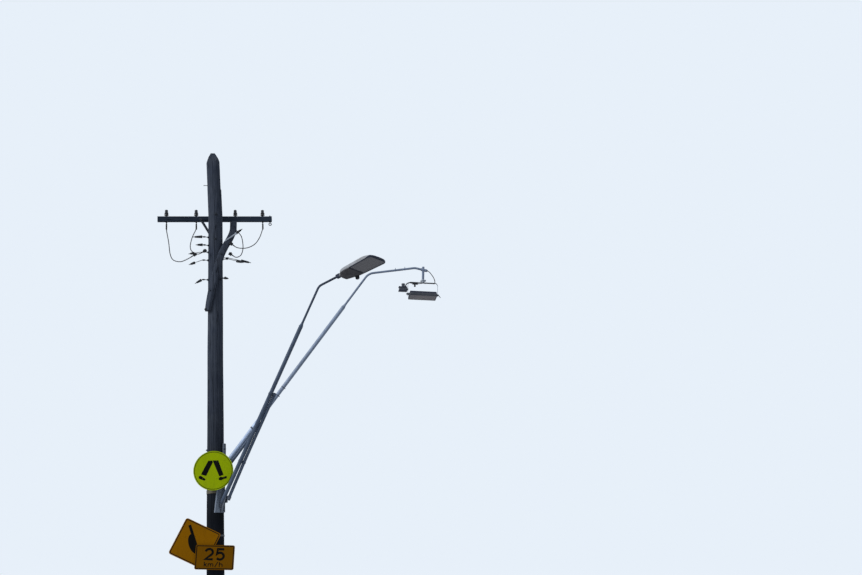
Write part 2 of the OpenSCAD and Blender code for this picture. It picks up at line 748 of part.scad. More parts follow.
// Turn of the floodlight about its drop pipe
flood_turn = 15;
module at_flood() {
    at_tee() translate([0, 0, -drop_len]) rotate([0, 0, flood_turn]) children();
}
module flood_knuckle() {
    color("#8a9198") at_flood() {
        translate([0, 0, -14]) cylinder(h = 14, d = 62);
        // Clevis with its clamp bolt
        translate([0, 0, -60]) cylinder(h = 48, d = 42);
        translate([-34, -16, -46]) cube([68, 32, 30]);
        cylinder(h = 40, d = drop_d - 2 * tube_wall - 0.4);
        translate([20, 0, -26]) rotate([0, 60, 0]) cylinder(h = 40, d = 24);
    }
}
// Stirrup: flat bar bent round the floodlight
stirrup_w = 40;
stirrup_t = 5;
stirrup_in = flood_w / 2 + 38;
stirrup_drop = 270;
stirrup_r = 58;
stirrup_top = -60 - stirrup_t;
pivot_up = 30;
pivot_z = stirrup_top - stirrup_drop + pivot_up;
module stirrup_outline(grow) {
    half = stirrup_in + grow;
    translate([-half, -stirrup_drop]) square([2 * half, stirrup_drop - stirrup_r]);
    translate([stirrup_r - stirrup_in, -stirrup_drop]) square([2 * (stirrup_in - stirrup_r), stirrup_drop + grow]);
    for (s = [-1, 1]) translate([s * (stirrup_in - stirrup_r), -stirrup_r]) circle(r = stirrup_r + grow);
}
module flood_stirrup() {
    color("#b4bac0") at_flood() translate([0, stirrup_w / 2, stirrup_top]) rotate([90, 0, 0])
        difference() {
            linear_extrude(stirrup_w) difference() {
                stirrup_outline(stirrup_t);
                stirrup_outline(0);
                translate([-400, -stirrup_drop - 20]) square([800, 20]);
            }
            translate([-400, pivot_up - stirrup_drop, stirrup_w / 2]) rotate([0, 90, 0])
                cylinder(h = 800, d = 14);
        }
}
// Pivot bolts, one at each end of the floodlight, and the trunnions that they enter
bolt_in = 22;
trunnion = stirrup_in - 0.4;
module at_pivot() {
    at_flood() translate([0, 0, pivot_z]) children();
}
module flood_pivots() {
    color("#2b2f34") at_pivot() for (s = [0, 180]) rotate([0, 0, s])
        translate([stirrup_in + stirrup_t, 0, 0]) rotate([0, 90, 0]) {
            translate([0, 0, 2 - stirrup_t - bolt_in]) cylinder(h = stirrup_t + bolt_in, d = 13.4);
            cylinder(h = 14, d = 36);
            translate([0, 0, 14]) hex(22, 12);
            // The right pivot has a clamping lever
            if (s == 0) translate([0, 0, 18]) rotate([0, 50, 0]) cylinder(h = 62, d = 13);
        }
}
// Frame of the floodlight's body, whose middle hangs below the pivots
body_down = 38;
module at_body() {
    at_pivot() rotate([flood_tilt, 0, 0]) translate([0, 0, -body_down]) children();
}
// Body with cooling fins and ears, its trunnions just inside the stirrup
module flood_body() {
    color("#24272b") at_body() difference() {
        union() {
            hull() {
                translate([-flood_w / 2, -flood_l / 2, -flood_h / 2]) cube([flood_w, flood_l, flood_h - 34]);
                translate([-flood_w / 2 + 14, -flood_l / 2 + 10, flood_h / 2 - 10])
                    cube([flood_w - 28, flood_l - 20, 10]);
            }
            for (i = [-7 : 7]) translate([i * 30 - 3, -flood_l / 2 + 40, 0])
                cube([6, flood_l - 80, flood_h / 2 + 26]);
            for (s = [0, 180]) rotate([0, 0, s]) {
                translate([flood_w / 2 - 30, -26, body_down - 30]) cube([38, 52, 30]);
                translate([flood_w / 2 - 30, 0, body_down]) rotate([0, 90, 0])
                    cylinder(h = trunnion - flood_w / 2 + 30, d = 36);
            }
        }
        // Bores of the pivot bolts
        for (s = [0, 180]) rotate([0, 0, s]) translate([trunnion - bolt_in, 0, body_down]) rotate([0, 90, 0])
            cylinder(h = bolt_in + 1, d = 14);
        translate([-flood_w / 2 + 14, -flood_l / 2 + 14, -flood_h / 2 - 1]) cube([flood_w - 28, flood_l - 28, 13]);
    }
}
module flood_glass() {
    color("#8c8378") at_body()
        translate([-flood_w / 2 + 14, -flood_l / 2 + 14, -flood_h / 2 + 2]) cube([flood_w - 28, flood_l - 28, 10]);
}
// Driver box with a sensor stub on top, on a bracket from the stirrup's left leg
box_x = -stirrup_in - stirrup_t - 96;
module flood_driver_box() {
    color("#3a4046") at_pivot() translate([box_x, 0, 92]) {
        translate([-72, -50, -42]) cube([144, 100, 84]);
        for (z = [-42, 30]) translate([-82, -58, z]) cube([164, 116, 12]);
        translate([6, 0, 40]) cylinder(h = 72, d = 64);
        translate([60, -15, -18]) cube([36, 30, 36]);
    }
}

// Supply cable from the end of the arm to the stirrup and along under its top to the joiner
module at_tee_turned() {
    at_tee() rotate([0, 0, flood_turn]) children();
}
joiner_x = -107;
joiner_down = 25;
bar_under = stirrup_top - drop_len;
tee_way = [cos(tee_turn) * cos(flood_turn), -cos(tee_turn) * sin(flood_turn), sin(tee_turn)];
flood_cable_route = concat([tee_way * tee_right, tee_way * (tee_right + 26)], [
    [143, -32, -71], [201, -36, -151], [230, -38, -217], [232, -38, bar_under + 4], [222, -32, bar_under - 18],
    [184, -14, bar_under - 11], [90, -8, bar_under - 10], [0, -8, bar_under - 10], [joiner_x + 40, -8, bar_under - 21],
    [joiner_x, -8, bar_under - joiner_down]
]);
module flood_cable() {
    color("#1b1d20") at_tee_turned() cable(flood_cable_route, 8, tee_way, [-1, 0, 0]);
}
// Inline cable joiner hung under the stirrup's top, with a gland below
module flood_joiner() {
    color("#17191c") at_tee_turned() translate([joiner_x, -8, bar_under - joiner_down]) {
        rotate([0, -90, 0]) cylinder(h = 98, d = 41);
        rotate([0, -90, 0]) cylinder(h = 16, d = 42 / cos(30), $fn = 6);
        translate([-82, 0, 0]) rotate([0, -90, 0]) cylinder(h = 16, d = 42 / cos(30), $fn = 6);
        translate([-52, 0, -64]) cylinder(h = 60, d = 34);
    }
}

// Extruded rail across the back of a sign, from the sheet towards the pole
rail_h = 42;
rail_d = 22;
module rail(x0, x1) {
    difference() {
        translate([x0, 0, -rail_h / 2]) cube([x1 - x0, rail_d, rail_h]);
        translate([x0 - 1, 3, -rail_h / 2 + 8]) cube([x1 - x0 + 2, rail_d - 6, rail_h - 16]);
    }
}

// Round sign, upright and facing the road
disc_at = [-39, -294, disc_z];
module round_sign() {
    color("#b5cf12") translate(disc_at) rotate([90, 0, 0]) cylinder(h = sheet, d = disc_d, $fn = 96);
}
// Sign sheet with round corners, centred, facing the road
module sheet_plate(w, h, r) {
    rotate([90, 0, 0]) linear_extrude(sheet) {
        square([w - 2 * r, h], center = true);
        square([w, h - 2 * r], center = true);
        for (sx = [-1, 1], sz = [-1, 1]) translate([sx * (w / 2 - r), sz * (h / 2 - r)]) circle(r = r);
    }
}
diamond_at = [-380, -226, 2548];
diamond_turn = -27.5;
module diamond_sign() {
    color("#d99a12") translate(diamond_at) rotate([0, -diamond_turn, 0]) sheet_plate(diamond_w, diamond_w, 46);
}
plate_at = [-14, -262, 2276];
plate_turn = -4;
module speed_plate() {
    color("#dc9d10") translate(plate_at) rotate([0, -plate_turn, 0]) sheet_plate(plate_w, plate_h, 34);
}
// Height, front plane, left end, right end and saddle of each rail
rails = [
    [3738, disc_at[1], -300, 222, -86], [4073, disc_at[1], -300, 222, -86],
    [2348, diamond_at[1], -690, 52, 0], [2678, diamond_at[1], -640, 62, 0],
    [2136, plate_at[1], -314, 286, 0], [2416, plate_at[1], -314, 286, 0]
];
module sign_rails() {
    color("#a9adb0") for (r = rails) translate([0, r[1], r[0]]) rail(r[2], r[3]);
}

// Steel bands round the pole, with saddles that carry the rails
saddle_w = 60;
saddle_h = 32;
module band(z, h) {
    translate([pole_x(z), 0, z - h / 2]) cylinder(h = h, r = pole_r(z) + 5, $fn = 120);
}
pale_band_z = 3506;
fit_gap = 0.003;
module sign_bands() {
    color("#a5a39a") {
        difference() {
            band(pale_band_z, 66);
            pole_slice(pale_band_z - 50, pale_band_z + 50, fit_gap);
        }
        for (r = rails) difference() {
            union() {
                band(r[0], saddle_h);
                translate([r[4] - saddle_w / 2, r[1] + rail_d, r[0] - saddle_h / 2])
                    cube([saddle_w, -r[1] - rail_d, saddle_h]);
            }
            pole_slice(r[0] - 30, r[0] + 30, fit_gap);
        }
    }
}

pole_shaft();
top_nail();
crossarm();
crossarm_brace();
timber_strut();
strain_rod();
insulator_pins();
insulators();
end_eye();
service_hooks();
strain_clamps();
jumper_cables();
cable_connectors();
lower_bracket();
upper_bracket();
bracket_saddles();
arm_feet();
arm_stays();
stay_clamps();
lamp_arm_lower();
lamp_arm_upper();
flood_arm_lower();
flood_arm_upper();
flood_arm_tee();
lamp_spigot_clamp();
lamp_housing();
lamp_gear_door();
lamp_lens();
lamp_sensor();
flood_knuckle();
flood_stirrup();
flood_pivots();
flood_body();
flood_glass();
flood_driver_box();
flood_cable();
flood_joiner();
round_sign();
diamond_sign();
speed_plate();
sign_rails();
sign_bands();
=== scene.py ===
from math import cos, pi, radians, sin, sqrt, tan

import bmesh
import bpy
import numpy as np
from mathutils import Matrix, Vector
from mathutils import noise as field


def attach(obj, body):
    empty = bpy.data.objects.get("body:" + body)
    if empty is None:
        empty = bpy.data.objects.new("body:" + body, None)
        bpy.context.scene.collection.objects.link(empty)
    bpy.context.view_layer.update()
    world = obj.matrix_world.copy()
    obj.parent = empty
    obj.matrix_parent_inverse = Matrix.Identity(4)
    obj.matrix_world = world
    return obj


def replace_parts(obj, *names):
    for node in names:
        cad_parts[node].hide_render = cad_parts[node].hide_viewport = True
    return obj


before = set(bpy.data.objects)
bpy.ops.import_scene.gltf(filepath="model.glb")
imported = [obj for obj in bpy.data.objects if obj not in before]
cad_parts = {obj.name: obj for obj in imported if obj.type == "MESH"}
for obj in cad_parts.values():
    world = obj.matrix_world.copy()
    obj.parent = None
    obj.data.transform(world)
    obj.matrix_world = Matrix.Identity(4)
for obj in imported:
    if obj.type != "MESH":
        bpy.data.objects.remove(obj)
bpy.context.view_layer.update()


# Camera, daylight and ground
# The viewer stands 21 m in front of the pole at eye height and looks up and to the right at it.
# Two broad lamps and an even, pale surround give soft shade; the floor is plain and pale.
eye = Vector((0.0, -20.995, 1.6))
look_right = Vector((0.9796, -0.1933, -0.0554)).normalized()
look_up = Vector((0.0, -0.2756, 0.9613))
look_up = (look_up - look_up.dot(look_right) * look_right).normalized()
look_back = look_right.cross(look_up)
camera = bpy.data.objects.new("viewer", bpy.data.cameras.new("viewer"))
camera.data.sensor_width = 36.0
camera.data.lens = 43.852
camera.data.clip_end = 200
camera.matrix_world = Matrix((
    (look_right.x, look_up.x, look_back.x, eye.x),
    (look_right.y, look_up.y, look_back.y, eye.y),
    (look_right.z, look_up.z, look_back.z, eye.z),
    (0, 0, 0, 1)))
bpy.context.scene.collection.objects.link(camera)
bpy.context.scene.camera = camera
bpy.context.scene.view_settings.view_transform = "Standard"


def lamp(name, aim_from, strength, spread):
    light = bpy.data.objects.new(name, bpy.data.lights.new(name, "SUN"))
    light.data.energy = strength
    light.data.angle = radians(spread)
    light.rotation_euler = Vector(aim_from).to_track_quat("Z", "Y").to_euler()
    bpy.context.scene.collection.objects.link(light)


lamp("key_daylight", (-0.90, -0.45, 0.65), 2.4, 30)
lamp("fill_daylight", (0.8, -0.9, 0.35), 0.15, 70)


def joined(tree, kind, **given):
    """A node whose inputs are given by name as values, or as sockets to link from."""
    made = tree.nodes.new(kind)
    for key, value in given.items():
        if hasattr(made, key) and not isinstance(value, bpy.types.NodeSocket):
            setattr(made, key, value)
            continue
        socket = made.inputs[int(key[1:])] if key[0] == "i" and key[1:].isdigit() else made.inputs[key.replace("_",
                                                                                                               " ")]
        if isinstance(value, bpy.types.NodeSocket):
            tree.links.new(value, socket)
        else:
            socket.default_value = value
    return made


def sums(tree, how, a, b):
    """Arithmetic on two values or sockets."""
    return joined(tree, "ShaderNodeMath", operation=how, i0=a, i1=b).outputs[0]


def mapped(tree, value, low, high, to_low=0.0, to_high=1.0):
    """A value carried from one range to another."""
    return joined(tree, "ShaderNodeMapRange", Value=value, i1=low, i2=high, i3=to_low, i4=to_high).outputs[0]


sky = bpy.data.worlds.new("open_sky")
bpy.context.scene.world = sky
sky.use_nodes = True
tree = sky.node_tree
tree.nodes.clear()
path = tree.nodes.new("ShaderNodeLightPath")
seen = sums(tree, "MAXIMUM", path.outputs["Is Camera Ray"], path.outputs["Is Glossy Ray"])
seen = sums(tree, "MAXIMUM", seen, path.outputs["Is Transmission Ray"])
shown = joined(tree, "ShaderNodeBackground", Color=(0.80, 0.87, 0.95, 1), Strength=1.0)
lit = joined(tree, "ShaderNodeBackground", Color=(0.80, 0.88, 1.0, 1), Strength=0.42)
mix = joined(tree, "ShaderNodeMixShader", Fac=seen, i1=lit.outputs[0], i2=shown.outputs[0])
joined(tree, "ShaderNodeOutputWorld", Surface=mix.outputs[0])

ground_mesh = bpy.data.meshes.new("ground")
ground_mesh.from_pydata([(-40, -40, 0), (40, -40, 0), (40, 40, 0), (-40, 40, 0)], [], [(0, 1, 2, 3)])
ground = bpy.data.objects.new("ground", ground_mesh)
ground.location.z = -0.002
bpy.context.scene.collection.objects.link(ground)
ground_paint = bpy.data.materials.new("pale_ground")
ground_paint.use_nodes = True
tree = ground_paint.node_tree
tree.nodes["Principled BSDF"].inputs["Base Color"].default_value = (0.62, 0.63, 0.64, 1)
tree.nodes["Principled BSDF"].inputs["Roughness"].default_value = 0.9
ground_mesh.materials.append(ground_paint)


# Pole shaft
# A hardwood pole gone grey, set in the ground and slightly crooked, with its top cut to four slopes.
# Sun and rain have opened long drying checks down it; flats are cut where the crossarm and brace bed.
POLE_TOP = 10.550
TOP_FLAT, CUT_DEPTH = 0.044, 0.215
BEAM_Z, BEAM_SEAT, BRACE_Z, BRACE_SEAT, OLD_SEAT_Z, OLD_SEAT = 9.155, 0.012, 8.62, 0.004, 9.74, 0.013
# Each far seat's lower and upper edge, the level its depth is taken at, and its depth
FAR_SEATS = ((9.098, 9.212, BEAM_Z, BEAM_SEAT), (8.5748, 8.7248, BRACE_Z, BRACE_SEAT))
POLE_FOOT_R, POLE_TOP_R = 0.176, 0.141
LEAN_FROM, LEAN = 9.150, tan(radians(2.2))
WANDER = ((0, 0), (1.5, 0.003), (3.1, -0.002), (4.8, 0.002), (6.3, -0.003), (7.7, 0.001), (9.15, 0), (12, 0))


def pole_radius(z):
    return POLE_FOOT_R + (POLE_TOP_R - POLE_FOOT_R) * z / POLE_TOP


def pole_centre(z):
    return float(np.interp(z, [w[0] for w in WANDER], [w[1] for w in WANDER])) - max(0.0, z - LEAN_FROM) * LEAN


def vector_group(name, outputs):
    """An empty shader group that takes a Coordinate and named numbers."""
    group = bpy.data.node_groups.new(name, "ShaderNodeTree")
    group.interface.new_socket("Coordinate", in_out="INPUT", socket_type="NodeSocketVector")
    for out in outputs:
        group.interface.new_socket(out, in_out="OUTPUT", socket_type="NodeSocketFloat")
    return group, group.nodes.new("NodeGroupInput"), group.nodes.new("NodeGroupOutput")


def number_in(group, name, value):
    socket = group.interface.new_socket(name, in_out="INPUT", socket_type="NodeSocketFloat")
    socket.default_value = value


def ramp(tree, fac, *stops):
    """Greys or colours by position along fac."""
    made = tree.nodes.new("ShaderNodeValToRGB")
    while len(made.color_ramp.elements) < len(stops):
        made.color_ramp.elements.new(0.5)
    for element, (place, colour) in zip(made.color_ramp.elements, stops):
        element.position = place
        element.color = (*colour, 1) if isinstance(colour, tuple) else (colour, colour, colour, 1)
    tree.links.new(fac, made.inputs["Fac"])
    return made.outputs["Color"]


def blended(tree, how, fac, a, b):
    """Mix of two colours; fac, a and b may be values or sockets."""
    made = tree.nodes.new("ShaderNodeMix")
    made.data_type, made.blend_type = "RGBA", how
    for socket, value in ((made.inputs[0], fac), (made.inputs[6], a), (made.inputs[7], b)):
        if isinstance(value, bpy.types.NodeSocket):
            tree.links.new(value, socket)
        else:
            socket.default_value = (*value, 1) if isinstance(value, tuple) else value
    return made.outputs[2]


def cloudy(tree, place, scale, detail, rough=0.5):
    """Noise as one value."""
    made = joined(tree, "ShaderNodeTexNoise", Vector=place, Scale=scale, Detail=detail, Roughness=rough)
    return made.outputs["Fac"]


# Timber grain: long fibres along X of the coordinate, dark checks, and stains
timber_grain, gin, gout = vector_group("timber_grain", ("Fibre", "Check", "Stain"))
for label, value in (("Fibre Size", 90.0), ("Stretch", 0.03), ("Check Size", 24.0)):
    number_in(timber_grain, label, value)
thin = joined(timber_grain, "ShaderNodeCombineXYZ", X=gin.outputs["Stretch"], Y=1.0, Z=1.0)
drawn = joined(timber_grain, "ShaderNodeVectorMath", operation="MULTIPLY", i0=gin.outputs["Coordinate"],
               i1=thin.outputs[0])
fibre = cloudy(timber_grain, drawn.outputs[0], gin.outputs["Fibre Size"], 6.0, 0.65)
timber_grain.links.new(fibre, gout.inputs["Fibre"])
wavy = joined(timber_grain, "ShaderNodeTexNoise", Vector=drawn.outputs[0], Scale=6.0, Detail=2.0)
bent = joined(timber_grain, "ShaderNodeVectorMath", operation="MULTIPLY_ADD", i0=wavy.outputs["Color"],
              i1=(0.02, 0.02, 0.02), i2=drawn.outputs[0])
crack = joined(timber_grain, "ShaderNodeTexVoronoi", feature="DISTANCE_TO_EDGE", Vector=bent.outputs[0],
               Scale=gin.outputs["Check Size"])
narrow = mapped(timber_grain, crack.outputs["Distance"], 0.0, 0.06, 1.0, 0.0)
broken = cloudy(timber_grain, drawn.outputs[0], 14.0, 1.0)
kept = mapped(timber_grain, broken, 0.5, 0.6)
check = sums(timber_grain, "MULTIPLY", narrow, kept)
timber_grain.links.new(check, gout.inputs["Check"])
stain = cloudy(timber_grain, gin.outputs["Coordinate"], 2.3, 4.0, 0.6)
timber_grain.links.new(stain, gout.inputs["Stain"])


def fresh_material(name, rough=0.8, metallic=0.0, specular=0.15):
    """A material with its Principled shader, tree and object coordinates."""
    made = bpy.data.materials.new(name)
    made.use_nodes = True
    shader = made.node_tree.nodes["Principled BSDF"]
    shader.inputs["Roughness"].default_value = rough
    shader.inputs["Metallic"].default_value = metallic
    shader.inputs["Specular IOR Level"].default_value = specular
    place = made.node_tree.nodes.new("ShaderNodeTexCoord").outputs["Object"]
    return made, made.node_tree, shader, place


def fed(shader, **sources):
    """Links sockets to the shader's inputs of these names."""
    for key, source in sources.items():
        shader.id_data.links.new(source, shader.inputs[key.replace("_", " ")])


def grouped(tree, group, place, **values):
    made = tree.nodes.new("ShaderNodeGroup")
    made.node_tree = group
    tree.links.new(place, made.inputs["Coordinate"])
    for key, value in values.items():
        made.inputs[key.replace("_", " ")].default_value = value
    return made


def bumped(tree, shader, height, strength, depth):
    made = joined(tree, "ShaderNodeBump", Strength=strength, Distance=depth, Height=height)
    fed(shader, Normal=made.outputs["Normal"])


def timber(name, order, dark, pale, green, check_size=24.0):
    """Weathered timber: fibres along the first axis of order, between a dark and a pale grey."""
    made, tree, shader, place = fresh_material(name, 0.86, specular=0.05)
    split = joined(tree, "ShaderNodeSeparateXYZ", Vector=place)
    turned = joined(tree, "ShaderNodeCombineXYZ", **{to: split.outputs[axis] for to, axis in zip("XYZ", order)})
    grain = grouped(tree, timber_grain, turned.outputs[0], Check_Size=check_size)
    middle = tuple(0.5 * (a + b) for a, b in zip(dark, pale))
    base = ramp(tree, grain.outputs["Fibre"], (0.3, dark), (0.5, middle), (0.72, pale))
    cloud = ramp(tree, grain.outputs["Stain"], (0.35, (0.72, 0.74, 0.78)), (0.65, green))
    base = blended(tree, "MULTIPLY", 0.9, base, cloud)
    # Painted shade darkens the lower metres, where the pole stands in shade
    height = mapped(tree, split.outputs["Z"], 2.6, 7.0)
    soil_and_shade = ramp(tree, height, (0.0, 0.22), (0.10, 0.13), (0.3, 0.5), (0.6, 0.78), (1.0, 1.0))
    base = blended(tree, "MULTIPLY", 1.0, base, soil_and_shade)
    base = blended(tree, "MIX", grain.outputs["Check"], base, tuple(0.25 * c for c in dark))
    fed(shader, Base_Color=base)
    low = sums(tree, "SUBTRACT", grain.outputs["Fibre"], grain.outputs["Check"])
    bumped(tree, shader, low, 0.9, 0.004)
    return made


pole_timber = timber("weathered_pole_timber", "ZXY", (0.020, 0.026, 0.039), (0.074, 0.088, 0.120), (1.0, 0.97, 0.92))


def faced_out(mesh, weld=0.0):
    """Turns a mesh's faces outwards, once points nearer than weld are joined."""
    work = bmesh.new()
    work.from_mesh(mesh)
    if weld:
        bmesh.ops.remove_doubles(work, verts=work.verts, dist=weld)
    bmesh.ops.recalc_face_normals(work, faces=work.faces)
    work.to_mesh(mesh)
    work.free()


def object_of(name, verts, faces, material, smooth=True):
    """A piece with its place in its mesh, its faces turned outwards."""
    mesh = bpy.data.meshes.new(name)
    mesh.from_pydata([tuple(v) for v in verts], [], faces)
    faced_out(mesh, 0.00002)
    for face in mesh.polygons:
        face.use_smooth = smooth
    mesh.materials.append(material)
    made = bpy.data.objects.new(name, mesh)
    bpy.context.scene.collection.objects.link(made)
    return made


def loft(rings, close=True):
    """Faces over equal rings of points, with a fan at each end."""
    n = len(rings[0])
    verts = [p for ring in rings for p in ring]
    faces = [(i * n + j, i * n + (j + 1) % n, (i + 1) * n + (j + 1) % n, (i + 1) * n + j)
             for i in range(len(rings) - 1) for j in range(n)]
    if close:
        for base, flip in ((0, True), ((len(rings) - 1) * n, False)):
            verts.append(tuple(np.mean([verts[base + j] for j in range(n)], axis=0)))
            hub = len(verts) - 1
            for j in range(n):
                faces.append((hub, base + (j + 1) % n, base + j) if flip else (hub, base + j, base + (j + 1) % n))
    return verts, faces


# Long checks: azimuth, middle height, half length, half width as an angle, depth
rng = np.random.default_rng(11)
pole_checks = [(rng.uniform(0, 2 * pi), rng.uniform(0.3, 9.9), rng.uniform(0.35, 1.5), rng.uniform(0.006, 0.02),
                rng.uniform(0.004, 0.013)) for _ in range(95)]
# Three long ones that run down the road side
pole_checks += [(radians(-104), 6.1, 2.6, 0.022, 0.016), (radians(-71), 4.9, 2.1, 0.02, 0.015),
                (radians(-92), 9.0, 1.0, 0.018, 0.012)]
POLE_SIDES = 176
# Levels of the mesh: two at every seat's edge, and close ones up the cut top
pole_heights = sorted(set([round(z, 4) for z in np.arange(0, 10.33, 0.055)]
                          + [9.098, 9.0985, 9.2115, 9.212, 8.5745, 8.575, 8.7245, 8.725, 9.7395, 9.740]
                          + [round(z, 4) for z in np.arange(10.33, 10.551, 0.008)] + [POLE_TOP]))
top_slope = (POLE_TOP_R - TOP_FLAT) / CUT_DEPTH


def check_depth(azimuth, z):
    deep = 0.0
    for a, mid, half, wide, depth in pole_checks:
        t = (z - mid) / half
        if abs(t) >= 1:
            continue
        off = abs((azimuth - a - 0.05 * sin(2.1 * z + a) + pi) % (2 * pi) - pi)
        if off < wide:
            deep = max(deep, depth * (1 - t * t) * (1 - off / wide) ** 0.6)
    return deep


rings = []
for z in pole_heights:
    radius, centre = pole_radius(z), pole_centre(z)
    ring = []
    for j in range(POLE_SIDES):
        a = 2 * pi * j / POLE_SIDES
        dx, dy = cos(a), sin(a)
        r = radius
        # Slopes of the cut top, and the flats of the seats
        if z > POLE_TOP - 0.3:
            reach = TOP_FLAT + (POLE_TOP - z) * top_slope
            r = min(r, reach / max(abs(dx), abs(dy)))
        for low, high, level, deep in FAR_SEATS:
            if low < z < high and dy > 0.2:
                r = min(r, (pole_radius(level) - deep) / dy)
        if z > OLD_SEAT_Z - 0.0002 and dx > 0.2:
            r = min(r, (pole_radius(OLD_SEAT_Z) - OLD_SEAT) / dx)
        spot = Vector((dx * 3.0, dy * 3.0, z * 0.35))
        fine, broad = field.fractal(spot * 3.0, 1.0, 2.0, 4), field.noise(Vector((dx * 9, dy * 9, z * 1.1)))
        r -= 0.0022 + (fine * 0.0016 + broad * 0.0013) + check_depth(a, z)
        ring.append((centre + r * dx, r * dy, z))
    rings.append(ring)
verts, faces = loft(rings)
pole = object_of("pole_timber", verts, faces, pole_timber)
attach(pole, "pole")
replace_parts(pole, "pole_shaft")


def dressed(material, *nodes):
    """Gives carried-over nodes a material."""
    for node in nodes:
        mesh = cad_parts[node].data
        mesh.materials.clear()
        mesh.materials.append(material)


# Weathered iron: dull grey zinc gone dark, with brown rust blooms
rust_bloom, gin, gout = vector_group("rust_bloom", ("Bloom", "Grit"))
number_in(rust_bloom, "Size", 9.0)
number_in(rust_bloom, "Amount", 0.5)
bloom = cloudy(rust_bloom, gin.outputs["Coordinate"], gin.outputs["Size"], 7.0, 0.7)
edge = sums(rust_bloom, "ADD", gin.outputs["Amount"], 0.12)
bloomed = mapped(rust_bloom, bloom, gin.outputs["Amount"], edge)
rust_bloom.links.new(bloomed, gout.inputs["Bloom"])
grit = cloudy(rust_bloom, gin.outputs["Coordinate"], 420.0, 3.0)
rust_bloom.links.new(grit, gout.inputs["Grit"])
dark_iron, tree, shader, place = fresh_material("weathered_iron", 0.62, 0.1, 0.2)
spots = grouped(tree, rust_bloom, place, Size=9.0, Amount=0.58)
grey = ramp(tree, spots.outputs["Grit"], (0.3, (0.0192, 0.024, 0.032)), (0.7, (0.0276, 0.0345, 0.046)))
fed(shader, Base_Color=blended(tree, "MIX", spots.outputs["Bloom"], grey, (0.050, 0.030, 0.020)))
fed(shader, Roughness=mapped(tree, spots.outputs["Bloom"], 0.0, 1.0, 0.62, 0.9))
bumped(tree, shader, spots.outputs["Grit"], 0.35, 0.0006)
dressed(dark_iron, "top_nail")


# Crossarm, its brace and the strut
# The crossarm is a sawn hardwood beam bedded in the far side of the pole and through-bolted to it.
# A joggled steel strap braces it on the left; a naturally bowed timber props its right half from the front.
beam_timber = timber("oiled_beam_timber", "XYZ", (0.012, 0.018, 0.030), (0.041, 0.057, 0.083), (1.0, 0.97, 0.94),
                     30.0)
dressed(beam_timber, "crossarm")
dressed(dark_iron, "crossarm_brace", "insulator_pins", "end_eye", "service_hooks")

BEAM_HALF = 0.0525
STRUT_W, STRUT_T, STRUT_FOOT, BEAM_UNDER = 0.142, 0.096, 7.104, BEAM_Z - BEAM_HALF
STRUT_SIDES, SQUARED = 72, 0.6
# Splits of the strut: azimuth, middle and half span in steps of its line, depth
STRUT_SPLITS = ((4.4, 60, 55, 0.012), (5.2, 90, 34, 0.010), (3.7, 40, 30, 0.008), (4.9, 24, 22, 0.009))
strut_points = [(0.374, 0.178, 9.175), (0.370, 0.152, 9.100), (0.357, 0.060, 8.861), (0.294, -0.040, 8.662),
                (0.186, -0.138, 8.433), (0.084, -0.186, 8.170), (-0.014, -0.184, 7.788), (-0.080, -0.162, 7.501),
                (-0.130, -0.124, 7.240), (-0.148, -0.102, 7.080), (-0.152, -0.094, 6.980)]


def through(points, steps):
    """Smooth curve through the points, steps to each stretch."""
    p = [np.array(q, float) for q in points]
    out = []
    for i in range(len(p) - 1):
        a, b, c, d = p[max(i - 1, 0)], p[i], p[i + 1], p[min(i + 2, len(p) - 1)]
        for k in range(steps):
            t = k / steps
            out.append(0.5 * (2 * b + (c - a) * t + (2 * a - 5 * b + 4 * c - d) * t * t
                              + (3 * b - a - 3 * c + d) * t ** 3))
    return out + [p[-1]]


def unit(v):
    v = np.array(v, float)
    return v / np.linalg.norm(v)


def strut_outward(p):
    """The level way out of the strut's broad face at p."""
    return unit((min(p[0], 0) * 1.5, -0.150, 0))


strut_line = through(strut_points, 12)
rings = []
for i, p in enumerate(strut_line):
    way = unit(strut_line[min(i + 1, len(strut_line) - 1)] - strut_line[max(i - 1, 0)])
    side = unit(np.cross(strut_outward(p), way))
    face = np.cross(way, side)
    ring = []
    for j in range(STRUT_SIDES):
        a = 2 * pi * j / STRUT_SIDES
        x = STRUT_W / 2 * (1 if cos(a) > 0 else -1) * abs(cos(a)) ** SQUARED
        y = STRUT_T / 2 * (1 if sin(a) > 0 else -1) * abs(sin(a)) ** SQUARED
        # Long splits follow the bow, and the surface is worn between them
        deep = sum(d * max(0.0, 1 - abs((a - at + pi) % (2 * pi) - pi) / 0.07) * max(0.0, 1 - ((i - mid) / span) ** 2)
                   for at, mid, span, d in STRUT_SPLITS)
        worn = 0.002 + 0.0016 * field.fractal(Vector((cos(a) * 2.4, sin(a) * 2.4, i * 0.09)), 1.0, 2.0, 3)
        scale = 1 - (deep + worn) / max(sqrt(x * x + y * y), 0.02)
        q = p + (side * x + face * y) * scale
        # Cut square under the crossarm and at the foot
        top = BEAM_UNDER - 0.004 + q[0] * 0.014
        if q[2] > top:
            q = q - way * (q[2] - top) / way[2]
        if q[2] < STRUT_FOOT:
            q = q - way * (q[2] - STRUT_FOOT) / way[2]
        ring.append(tuple(q))
    rings.append(ring)
verts, faces = loft(rings)
strut = object_of("strut_timber", verts, faces, pole_timber)
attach(strut, "pole")
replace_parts(strut, "timber_strut")

